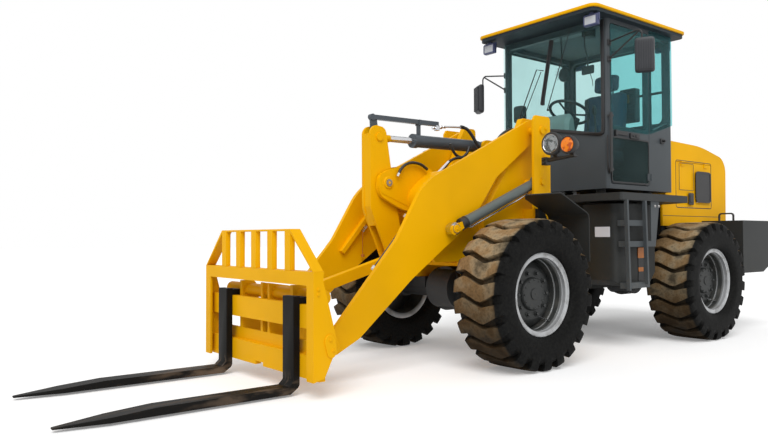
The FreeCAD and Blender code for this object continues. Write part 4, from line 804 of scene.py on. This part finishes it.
def cabGlazing():
    # the windscreen and the side panes are bonded outside their frames, so they reach nearly to the corners
    for name, (sheet, axis, low, high, finish, body) in panes.items():
        pane = addPiece(name, slab(sheets[sheet], axis, low, high, 1), finish, body, smooth=30)
        if name in ("windscreen", "door_pane"):
            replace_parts(pane, "cab_glass" if name == "windscreen" else "door_glass")
    # a dark lining inside the lower walls and on the floor, and a pale hatch in the ceiling
    x, y, z = cabLining["x"], cabLining["y"], cabLining["z"]
    addPiece("cab_lining", [slab(oblong(*x, *z, 10), "Y", -529, -522), slab(oblong(*y, *z, 10), "X", -142, -136),
                            slab(oblong(*y, *z, 10), "X", -1050, -1044), slab(oblong(*x, *y, 10), "Z", 1380, 1388)],
             linerDark)
    addPiece("ceiling_hatch", slab(oblong(-330, -110, -150, 200, 40), "Z", 2772, 2790, 5), lining)
    addPiece("ceiling_panel", slab(oblong(*x, -526, 526, 30), "Z", 2778, 2789), ceilingGrey)
    # the guard rail across part of the rear window
    addPiece("window_rail", [pipe([(-1050, 150, 2280), (-1050, 516, 2280)], 12)], blackPlastic)


cabGlazing()


# the windscreen's rubber shows below and down the side next to the door
screenEdge = ribbon([(-574, 1778), (-300, 1828), (0, 1880), (300, 1826), (480, 1792), (520, 1793), (546, 1812),
                     (552, 1850), (552, 2780)], -30)
addPiece("pane_gaskets", [slab(screenEdge, "X", -90, -74, 2), frameRing(sheets["rear"], "X", -1106, -1098, 15, 15),
                          frameRing(sheets["right"], "Y", -586, -578, 14, 14)], gasket, smooth=50)
addPiece("door_gaskets", frameRing(sheets["doorLow"], "Y", 579, 587, 3, 9), gasket, "cab_door", smooth=50)
# handle, catch, wiper and lines on the cab's outside
addPieces({
    "door_handle": ("cab_door", blackPlastic,          # lever and lock box
        slab(rounded([(-367, 1800), (-171, 1804), (-171, 1828), (-300, 1838), (-367, 1838)], 8), "Y", 583, 596, 3),
        slab(oblong(-195, -171, 1790, 1840, 6), "Y", 579, 606, 3),
        slab(oblong(-537, -399, 1784, 1834, 7), "Y", 579, 600, 4),
        slab(oblong(-520, -470, 1796, 1822, 5), "Y", 599, 606, 2), peg(8, 9, (-432, 599, 1809), (0, 1, 0), 20)),
    "door_catch": ("rear_frame", blackPlastic,         # holds the open door
        slab(oblong(-948, -890, 1780, 1826, 6), "Y", 578, 594, 3), peg(30, 10, (-918, 592, 1803), (0, 1, 0), 20),
        slab(oblong(-968, -940, 1796, 1812, 4), "Y", 584, 590, 2)),
    "wiper": ("rear_frame", blackPlastic,              # blade, parallel arms and the motor's caps
        slab(ribbon([(-102, 2141), (-96, 2200), (7, 2712)], 26), "X", -68, -50, 4),
        slab(ribbon([(-100, 2150), (8, 2700)], 8), "X", -52, -42, 2),
        pipe([(-64, -431, 1923), (-58, -290, 2200), (-54, -151, 2474), (-56, -75, 2452)], 5),
        pipe([(-64, -381, 1936), (-58, -240, 2190), (-54, -99, 2445)], 4),
        peg(26, 18, (-82, -431, 1923), (1, 0, 0), 20), peg(26, 14, (-82, -381, 1936), (1, 0, 0), 20)),
    "washer_line": ("rear_frame", hose,
        pipe([(-74, 216, 2784), (-68, 90, 2436), (-66, -41, 2088)], 4), peg(16, 9, (-82, -41, 2088), (1, 0, 0), 16)),
    "corner_line": ("rear_frame", hose,                # a drain down the corner of the cab
        pipe([(-70, 588, 1786), (-70, 589, 1560), (-76, 592, 1500), (-100, 588, 1466)], 7)),
})
print("cab trim made")


steering = {"centre": (-335, 0, 2088), "axis": (0.4695, 0, -0.8829), "radius": 182, "grip": 14,
            "spokes": (0.5, 2.64, 4.71)}


def makeSteeringWheel():
    # a round grip swept round the column's line, a domed hub and three dished spokes
    centre, (axis, side, up) = np.array(steering["centre"]), basis(steering["axis"])
    turn = np.linspace(0, 2 * pi, 12, endpoint=False)
    grip = np.stack([steering["grip"] * np.cos(turn), steering["radius"] + steering["grip"] * np.sin(turn)], -1)
    parts = [(turned(grip / 1000, at(centre), axis, 64), gridFaces(12, 64, True, True)),
             spun([(-14, 20), (-10, 40), (14, 44), (24, 36), (27, 4)], centre, axis, 32)]
    for angle in steering["spokes"]:
        away = math.cos(angle) * side + math.sin(angle) * up
        parts.append(pipe([centre + away * r + axis * rise for r, rise in ((20, 16), (70, 14), (176, 0))], 9))
    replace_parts(addPiece("wheel_ring", parts, blackPlastic), "steering_wheel")


makeSteeringWheel()
# what stands and hangs in the cab
addPieces({
    "instrument_hood": ("rear_frame", dashGrey,
        slab(rounded([(-300, 1790), (-136, 1790), (-145, 1990), (-205, 2062), (-262, 2030)], 40), "Y", -190, 120, 30)),
    "control_levers": ("rear_frame", blackPlastic,
        pipe([(-330, 200, 1800), (-335, 205, 1960), (-318, 210, 2080)], 9),
        pipe([(-380, 240, 1780), (-390, 245, 1930), (-372, 250, 2040)], 9),
        spun([(0, 8), (6, 18), (70, 22), (96, 16), (104, 4)], (-318, 210, 2070), (0.1, 0.02, 1), 20),
        spun([(0, 8), (6, 16), (60, 20), (84, 14), (92, 4)], (-372, 250, 2030), (0.1, 0.02, 1), 20)),
    "inner_mirror": ("rear_frame", blackPlastic,
        slab(oblong(264, 392, 2362, 2436, 14), "X", -176, -160, 5),
        pipe([(-166, 330, 2430), (-150, 330, 2520), (-120, 330, 2600), (-118, 330, 2740)], 7),
        pipe([(-168, 350, 2370), (-170, 372, 2300), (-168, 378, 2250)], 3),
        slab(oblong(290, 372, 2690, 2780, 10), "X", -230, -130, 6)),
    "cab_fan": ("rear_frame", blackPlastic,            # a caged fan hung from the ceiling
        spun([(0, 60), (4, 66), (36, 66), (40, 60)], (-210, 30, 2420), (-1, 0.2, 0), 28),
        pipe([(-196, 30, 2480), (-190, 30, 2600), (-180, 30, 2780)], 7),
        *[pipe([(-168, 30 + along, 2420 + up), (-160, 30, 2420), (-168, 30 - along, 2420 - up)], 2, 6)
          for turn in np.arange(6) * pi / 6 for along, up in [(62 * math.cos(turn), 62 * math.sin(turn))]]),
    "heater_box": ("rear_frame", greyPlastic,          # a ribbed box behind the seat
        slab(oblong(120, 292, 2030, 2352, 14), "X", -1040, -960, 6),
        *[slab(oblong(130, 282, z, z + 9, 3), "X", -962, -950, 1) for z in np.arange(2050, 2330, 24)]),
    "box_tag": ("rear_frame", orangePlastic, slab(oblong(180, 232, 2210, 2290, 5), "X", -952, -944)),
})
print("cab inside made")

seatSet = {"swell": 0.012, "voxel": 0.006, "pressure": 4, "steps": 20, "seam": 0.004, "seamWidth": 0.006}


def puffed(name, solid, seams):
    # a closed pad blown up gently by cloth pressure, its swelling capped, with sewn channels pressed in after
    pad = addPiece(name, solid, cloth, smooth=60)
    mesh = pad.modifiers.new("even", "REMESH")
    mesh.mode, mesh.voxel_size = "VOXEL", seatSet["voxel"]
    bakeDown(pad)
    start = coordinates(pad)
    press = pad.modifiers.new("press", "CLOTH")
    press.settings.use_pressure, press.settings.uniform_pressure_force = True, seatSet["pressure"]
    press.settings.effector_weights.gravity = 0
    for step in range(1, seatSet["steps"] + 1):
        bpy.context.scene.frame_set(step)
    bakeDown(pad)
    bpy.context.scene.frame_set(1)
    move = coordinates(pad) - start
    far = np.maximum(np.linalg.norm(move, axis=1) / seatSet["swell"], 1)[:, None]
    spots = start + move / far
    depth = sum(np.exp(-(seam(spots) / seatSet["seamWidth"]) ** 2) for seam in seams)
    normals = np.empty(len(spots) * 3)
    pad.data.vertices.foreach_get("normal", normals)
    spots -= normals.reshape(-1, 3) * np.clip(depth, 0, 1)[:, None] * seatSet["seam"]
    pad.data.vertices.foreach_set("co", spots.ravel())
    pad.data.update()
    pad.modifiers.new("fine", "SUBSURF").levels = 1
    pad.modifiers["fine"].render_levels = 1
    roundShade(pad, 180)
    return pad


def coordinates(piece):
    # the piece's points as rows of x, y, z
    spots = np.empty(len(piece.data.vertices) * 3)
    piece.data.vertices.foreach_get("co", spots)
    return spots.reshape(-1, 3)


def bakeDown(piece):
    # the mesh as its modifiers leave it, with the modifiers taken off
    shaped = piece.evaluated_get(bpy.context.evaluated_depsgraph_get())
    mesh = bpy.data.meshes.new_from_object(shaped)
    piece.modifiers.clear()
    piece.data = mesh


def leanSlab(u0, u1, z0, z1, thick, lean, x, radius):
    # a backrest's closed slab: an outline across the seat and up it, leaning back with height
    outline = oblong(u0, u1, z0, z1, radius, 6)
    rings = []
    for depth, inset in ((0, 14), (6, 4), (16, 0), (thick - 16, 0), (thick - 6, 4), (thick, 14)):
        ring = offset(outline, -inset)
        rings.append(at(np.stack([x - depth - (ring[:, 1] - z0) * lean, ring[:, 0], ring[:, 1]], -1)))
    return closed(np.stack(rings))


def channel(axis, place, ended=lambda p: False):
    # each point's distance from a sewn line across an axis, the same both sides of the middle, far where it ends
    far = 9
    return lambda p: np.abs(np.abs(p[:, axis]) - place) + far * ended(p)


def makeSeat():
    # cushion, back and headrest over a folded bellows with its slides
    def below(p): return p[:, 2] < 1.70
    def behind(p): return p[:, 0] < -1.72
    def beside(p): return np.abs(p[:, 1]) > 0.145
    cushion = puffed("seat_cushion", slab(oblong(-908, -452, -228, 228, 60, 8), "Z", 1632, 1742, 16),
                     [channel(1, 0.150, below), channel(0, 1.400, below), channel(2, 1.69)])
    puffed("seat_back", leanSlab(-228, 228, 1752, 2330, 92, 0.115, -812, 70),
           [channel(1, 0.145, behind), channel(2, 2.02, beside), channel(2, 1.88, beside)])
    puffed("seat_headrest", leanSlab(-128, 128, 2346, 2512, 70, 0.115, -884, 50), [channel(1, 0.09)])
    folds = [(1388 + step, 20 if i % 2 else 2) for i, step in enumerate(np.linspace(0, 224, 13))]
    rows = np.concatenate([levels(offset(oblong(-880, -500, -190, 190, 40), -inset), "Z", [height])
                           for height, inset in folds])
    pan = [closed(rows), slab(oblong(-890, -470, -205, 205, 20), "Z", 1612, 1634, 4)]
    pan += [pipe([(-936, side * 60, 2300), (-950, side * 60, 2380)], 7) for side in (1, -1)]
    addPiece("seat_base", pan, blackPlastic)
    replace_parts(cushion, "seat")


makeSeat()
print("seat made")

hoodTrim = {
    "face": 500, "door": 515, "vent": (-1936, -1640, 1266, 1574), "plate": (-1603, -1334, 1377, 1641),
    "latch": (-1593, -1502, 1240, 1354), "lid": (-1968, -1302, 1213, 1663), "seam": (-2160, -1066, 1126, 1131),
    "slats": 11,
}


def makeHoodTrim():
    # on each lid: a black louvred vent, a blank outlined plate and a sunk latch; a dark gap runs round the lid
    face, door = hoodTrim["face"], hoodTrim["door"]
    for side, name in ((1, "left"), (-1, "right")):
        def sheet(area, inset, radius, low, high, edge=0):
            x0, x1, z0, z1 = area
            outline = oblong(x0 + inset, x1 - inset, z0 + inset, z1 - inset, radius)
            return slab(outline, "Y", side * low, side * high, edge)

        def ring(area, radius, low, high, inward, outward):
            return frameRing(oblong(*area, radius), "Y", side * low, side * high, inward, outward)

        x0, x1, z0, z1 = hoodTrim["vent"]
        black = [ring(hoodTrim["vent"], 50, door - 2, door + 5, 16, 0),
                 sheet(hoodTrim["vent"], 8, 40, door - 2, door + 1.2)]
        black += [sheet((x0 + 22, x1 - 22, z - 5, z + 5), 0, 4, door, door + 2)
                  for z in np.linspace(z0 + 30, z1 - 30, hoodTrim["slats"])]
        x0, x1, z0, z1 = hoodTrim["latch"]
        black += [sheet(hoodTrim["latch"], 0, 10, door - 1, door + 7, 2),
                  sheet((x0 + 14, x1 - 14, z0 + 22, z1 - 18), 0, 8, door + 6, door + 12, 2)]
        addPiece(f"hood_vent_{name}", black, blackPlastic, f"hood_door_{name}")
        addPiece(f"hood_plate_line_{name}", ring(hoodTrim["plate"], 16, door - 1, door + 0.8, 5, 0), gasket,
                 f"hood_door_{name}")
        addPiece(f"hood_gap_{name}", [ring(hoodTrim["lid"], 26, face - 1, face + 1.5, 0, 6),
                                      sheet(hoodTrim["seam"], 0, 0, face - 1, face + 1)], gasket)


makeHoodTrim()
print("hood trim made")

lift = {"base": (690, 1362), "eye": (1592, 990), "y": 446, "gland": (838, 900, 45), "cap": 40}


def makeLiftTrim():
    # on each lift cylinder: a black gland at the barrel's mouth, a steel feed pipe, and a yellow cap over the eye
    base, eye = np.array(lift["base"], float), np.array(lift["eye"], float)
    run = (eye - base) / np.linalg.norm(eye - base)
    across = np.array((-run[1], run[0]))
    for side, name in ((1, "left"), (-1, "right")):
        def along(reach, drop=0):
            # a place so far along the cylinder and so far below its line
            spot = base + run * reach - across * drop
            return spot[0], side * lift["y"], spot[1]

        start, end, radius = lift["gland"]
        reach, groove = end - start, radius - 3
        profile = [(0, 38), (2, groove), (5, radius), (14, radius), (16, groove), (20, groove), (22, radius),
                   (reach - 6, radius), (reach, radius - 6), (reach, 26)]
        axis = (run[0], 0, run[1])
        gland = [spun(profile, along(start), axis, 36)] + [peg(8, 8, along(reach, 43), axis) for reach in (120, 820)]
        addPiece(f"lift_gland_{name}", gland, blackPlastic, f"lift_barrel_{name}")
        line = [along(*spot) for spot in ((130, 40), (150, 52), (300, 54), (700, 54), (808, 54), (826, 42))]
        addPiece(f"lift_feed_{name}", pipe(line, 7, 12), chrome, f"lift_barrel_{name}")
        out = side * (lift["y"] + 24)
        ear = rounded([eye + run * -30 + across * 26, eye + run * -96 + across * 20, eye + run * -96 - across * 20,
                       eye + run * -30 - across * 30, eye + run * 44 - across * 40, eye + run * 50 + across * 34],
                      np.array([20, 10, 10, 20, 34, 34]), 6)[::-1]
        plates = [slab(ear, "Y", out, out + side * 8, 2),
                  peg(14, lift["cap"] - 12, (eye[0], out + side * 6, eye[1]), (0, side, 0), 32),
                  peg(18, 9, (eye[0], out + side * 8, eye[1]), (0, side, 0))]
        addPiece(f"lift_eye_plate_{name}", plates, yellow, f"lift_rod_{name}")


makeLiftTrim()


keepers = {
    "tip": [(2560, 196), (2630, 200), (2640, 262), (2618, 312), (2576, 312), (2552, 262)], "tipY": 414,
    "lug": [(2780, 262), (2812, 236), (2842, 250), (2866, 340), (2850, 372), (2818, 380), (2790, 350)], "lugY": 714,
    "tower": [(661, 1778), (668, 1551), (668, 1500)], "towerY": 526,
}


def makePinCaps():
    # yellow keepers with bolts over the arms' front pins and on the carriage's ends, and bolts on the tower
    for side, name in ((1, "left"), (-1, "right")):
        axis, out, end = (0, side, 0), side * keepers["tipY"], side * keepers["lugY"]
        tip = [slab(rounded(keepers["tip"], 24), "Y", out, out + side * 10, 2)]
        tip += boltHeads([(2597, out + side * 9, 290), (2592, out + side * 9, 226)], axis, 9, 10)
        addPiece(f"tip_keeper_{name}", tip, yellow, "coupler_pins")
        lug = [slab(rounded(keepers["lug"], 26), "Y", end, end + side * 9, 2)]
        lug += boltHeads([(2828, end + side * 8, 345), (2808, end + side * 8, 284), (2904, end, 636), (2906, end, 606)],
                         axis, 9, 8)
        addPiece(f"end_keeper_{name}", lug, yellow, "carriage")
        bolts = boltHeads([(x, side * keepers["towerY"], z) for x, z in keepers["tower"]], axis, 12, 10)
        addPiece(f"tower_bolts_{name}", bolts, yellow, "front_frame")


makePinCaps()
addPiece("guard_slats", [slab(oblong(2902, 2928, y - 34, y + 34, 3), "Z", 737, 971) for y in np.arange(-2, 3) * 212.5],
         yellow, "carriage")


def hoseRun(radius, route, y=None):
    # a hose as one smooth curve through a few places, (x, z) on a plane across the machine where y is given
    places = route if y is None else [(x, y, z) for x, z in route]
    return pipe(smoothPath(places, 6), radius, 12)


# fittings, pipes and hoses, each on the body that both its ends ride on
addPieces({
    "tilt_fittings": ("tilt_barrel", chrome,
        slab(oblong(1372, 1404, 40, 76, 4), "Z", 1754, 1784, 2), peg(44, 11, (1392, 58, 1771), (1, 0, 0)),
        peg(22, 15, (1340, 60, 1784), (1, 0, -0.1)), peg(26, 12, (1388, 58, 1768), (0, 0, 1)),
        peg(30, 12, (1300, 60, 1789), (1, 0, 0)),
        hoseRun(8, [(1392, 1768), (1340, 1786), (1240, 1797), (1108, 1804)], 60)),
    "tilt_hoses": ("tilt_barrel", hose,
        hoseRun(13, [(1116, 60, 1804), (1070, 68, 1792), (1016, 78, 1736), (968, 90, 1664), (905, 100, 1622)]),
        peg(40, 15, (1096, 60, 1803), (1, 0, 0.1)),
        hoseRun(11, [(1325, 1650), (1306, 1612), (1262, 1566), (1199, 1553), (1144, 1590), (1120, 1640)], 140)),
    "tilt_collar": ("tilt_rod", yellow,
        spun([(0, 20), (4, 27), (80, 27), (88, 22)], (1898, 0, 1660.7), (-1, 0, 0.0134), 28)),
    "tower_hoses": ("front_frame", hose,
        hoseRun(15, [(935, 1600), (920, 1683), (850, 1753), (754, 1794), (670, 1785), (610, 1720)], 250),
        hoseRun(15, [(905, 1590), (888, 1660), (820, 1722), (740, 1756), (660, 1745), (600, 1680)], 215)),
    "arm_hoses": ("boom", hose,
        hoseRun(11, [(1822, 1395), (1800, 1428), (1753, 1465), (1686, 1482), (1607, 1472), (1545, 1440)], 120),
        hoseRun(11, [(1500, 1400), (1454, 1442), (1386, 1505), (1301, 1536), (1201, 1531), (1130, 1480)], 200),
        hoseRun(7, [(1560, 1330), (1759, 1190), (1900, 1060), (2060, 880), (2214, 716)], 316)),
    "arm_fittings": ("boom", chrome,
        peg(34, 13, (1745, 316, 1202), (0.72, 0, -0.69)), peg(30, 12, (2196, 316, 738), (0.68, 0, -0.73)),
        peg(40, 12, (1790, -338, 1010), (0.6, 0, -0.8)), peg(22, 16, (1780, -338, 1024), (0.6, 0, -0.8)),
        peg(30, 14, (1836, 120, 1372), (-0.5, 0, 0.86)), peg(26, 14, (1488, 200, 1410), (-0.7, 0, 0.7)),
        peg(26, 12, (1931, 330, 1090), (0.6, 0, -0.8))),
    "arm_tags": ("boom", orangePlastic,
        pipe([(1812, -334, 984), (1816, -334, 900), (1814, -334, 800)], 3, 8),
        peg(20, 14, (1814, -334, 800), (0, 0, -1), 12)),
})
addPiece("arm_pipe", hoseRun(10, [(1600, 1334), (1580, 1352), (1448, 1460), (1400, 1500)], 200), palePlate, "boom")
print("hydraulics made")

bracket = {
    "ear": [(1974, 1232), (1990, 1330), (1930, 1402), (1874, 1420), (1683, 1468), (1500, 1455), (1437, 1410),
            (1560, 1150), (1700, 1122), (1800, 1150)],
    "box": [(1700, 1118), (1722, 1200), (1707, 1269), (1624, 1340), (1500, 1430), (1440, 1420), (1430, 1360),
            (1560, 1120)],
    "strip": [(1745, 1079), (1989, 805), (2016, 828), (1772, 1104)],
}


def makeBracket():
    # the crank's tall ears on the arms' cross member, and the boxed webs from the ears out to each arm
    parts = []
    for side in (1, -1):
        parts += [slab(rounded(bracket["ear"], 60)[::-1], "Y", side * 64, side * 93, 3),
                  slab(rounded(bracket["box"], 40)[::-1], "Y", side * 92, side * 367),
                  slab(rounded(bracket["strip"], 4), "Y", side * 330, side * 367, 2),
                  peg(12, 44, (1899, side * 92, 1325), (0, side, 0), 36, 4)]
        parts += boltHeads([(1899, side * 103, 1325)], (0, side, 0), 11, 9)
    addPiece("crank_bracket", parts, yellow, "boom")


makeBracket()


# bare plates, markers, the gauges and the deck's bolts
addPieces({
    "tank_plate": ("rear_frame", palePlate, slab(oblong(548, 691, 928, 1012, 5), "X", 61, 65, 1)),        # left blank
    "marker_strips": ("rear_frame", orangePlastic,     # behind the ladder, with black blocks between
        slab(oblong(-296, -208, 752, 840, 6), "Y", 769, 775, 1),
        slab(oblong(-286, -218, 640, 676, 6), "Y", 769, 775, 1)),
    "marker_blocks": ("rear_frame", blackPlastic,
        slab(oblong(-290, -214, 676, 752, 6), "Y", 768, 774, 1),
        slab(oblong(-290, -214, 560, 640, 6), "Y", 768, 774, 1)),
    "gauge_pod": ("rear_frame", blackPlastic,
        slab(oblong(-500, -380, 2030, 2190, 30), "X", -190, -120, 12),
        pipe([(-160, -440, 1800), (-160, -440, 2050)], 14)),
    "deck_bolts": ("rear_frame", pinSteel, *[          # on the treads' ends and the deck's skirt
        head for side in (1, -1) for y, z, row in ((857, 1184, (-392, -335)), (767, 1046, (-252, -12)))
        for head in boltHeads([(x, side * y, z) for x in row], (0, side, 0), 8, 7)]),
})
print("small trim made")

studio = {"floor": (0.86, 0.86, 0.86, 1), "span": 60, "glow": 1.07, "sky": 0.60, "sun": 2.1,
          "sunFrom": (0.62, 0.66, 0.95), "sunSpread": 38}


def seenWhite(net):
    # 1 for rays from the camera, off gloss and through glass, 0 for the rest
    rays = net.node("LightPath").socket.node
    kinds = [Wire(net, rays.outputs[f"Is {kind} Ray"]) for kind in ("Camera", "Glossy", "Transmission")]
    return kinds[0] + kinds[1] + kinds[2] > 0.5


def floorFinish(name, colour):
    # pale and matt; to the eye it glows just enough to meet the white backdrop, and keeps its shadows
    net = Net(name)
    matt = net.node("BsdfDiffuse", {}, {"Color": colour})
    glow = net.node("Emission", {}, {"Strength": seenWhite(net) * (studio["glow"] - colour[0])})
    return net.finish(net.node("AddShader", {}, {0: matt, 1: glow}))


span = studio["span"]
floor = bpy.data.meshes.new("floor")
floor.from_pydata([(-span, -span, 0), (span, -span, 0), (span, span, 0), (-span, span, 0)], [], [(0, 1, 2, 3)])
floor.materials.append(floorFinish("floorPale", studio["floor"]))
floorObject = bpy.data.objects.new("floor", floor)
bpy.context.scene.collection.objects.link(floorObject)

world = bpy.data.worlds.new("studio")
bpy.context.scene.world = world
skyNet = Net("", world)
skyLight = skyNet.node("Background", {}, {
    "Color": (1, 1, 1, 1), "Strength": seenWhite(skyNet) * (1 - studio["sky"]) + studio["sky"]})
skyNet.node("OutputWorld", {}, {"Surface": skyLight})

sun = bpy.data.lights.new("sun", "SUN")
sun.energy, sun.angle = studio["sun"], math.radians(studio["sunSpread"])
sunObject = bpy.data.objects.new("sun", sun)
sunObject.rotation_euler = Vector(studio["sunFrom"]).to_track_quat("Z", "Y").to_euler()
bpy.context.scene.collection.objects.link(sunObject)

view = {"place": (4.2686, 4.1109, 0.9282), "heading": -128.267, "rise": 1.339, "roll": -0.17, "lens": 33.365}
camera = bpy.data.objects.new("camera", bpy.data.cameras.new("camera"))
camera.data.lens, camera.data.sensor_width = view["lens"], 36
camera.matrix_world = (Matrix.Translation(view["place"])
                       @ Matrix.Rotation(math.radians(view["heading"] - 90), 4, "Z")
                       @ Matrix.Rotation(math.radians(90 + view["rise"]), 4, "X")
                       @ Matrix.Rotation(math.radians(view["roll"]), 4, "Z"))
bpy.context.scene.collection.objects.link(camera)
bpy.context.scene.camera = camera
bpy.context.scene.view_settings.view_transform = "Standard"

print("scene made")
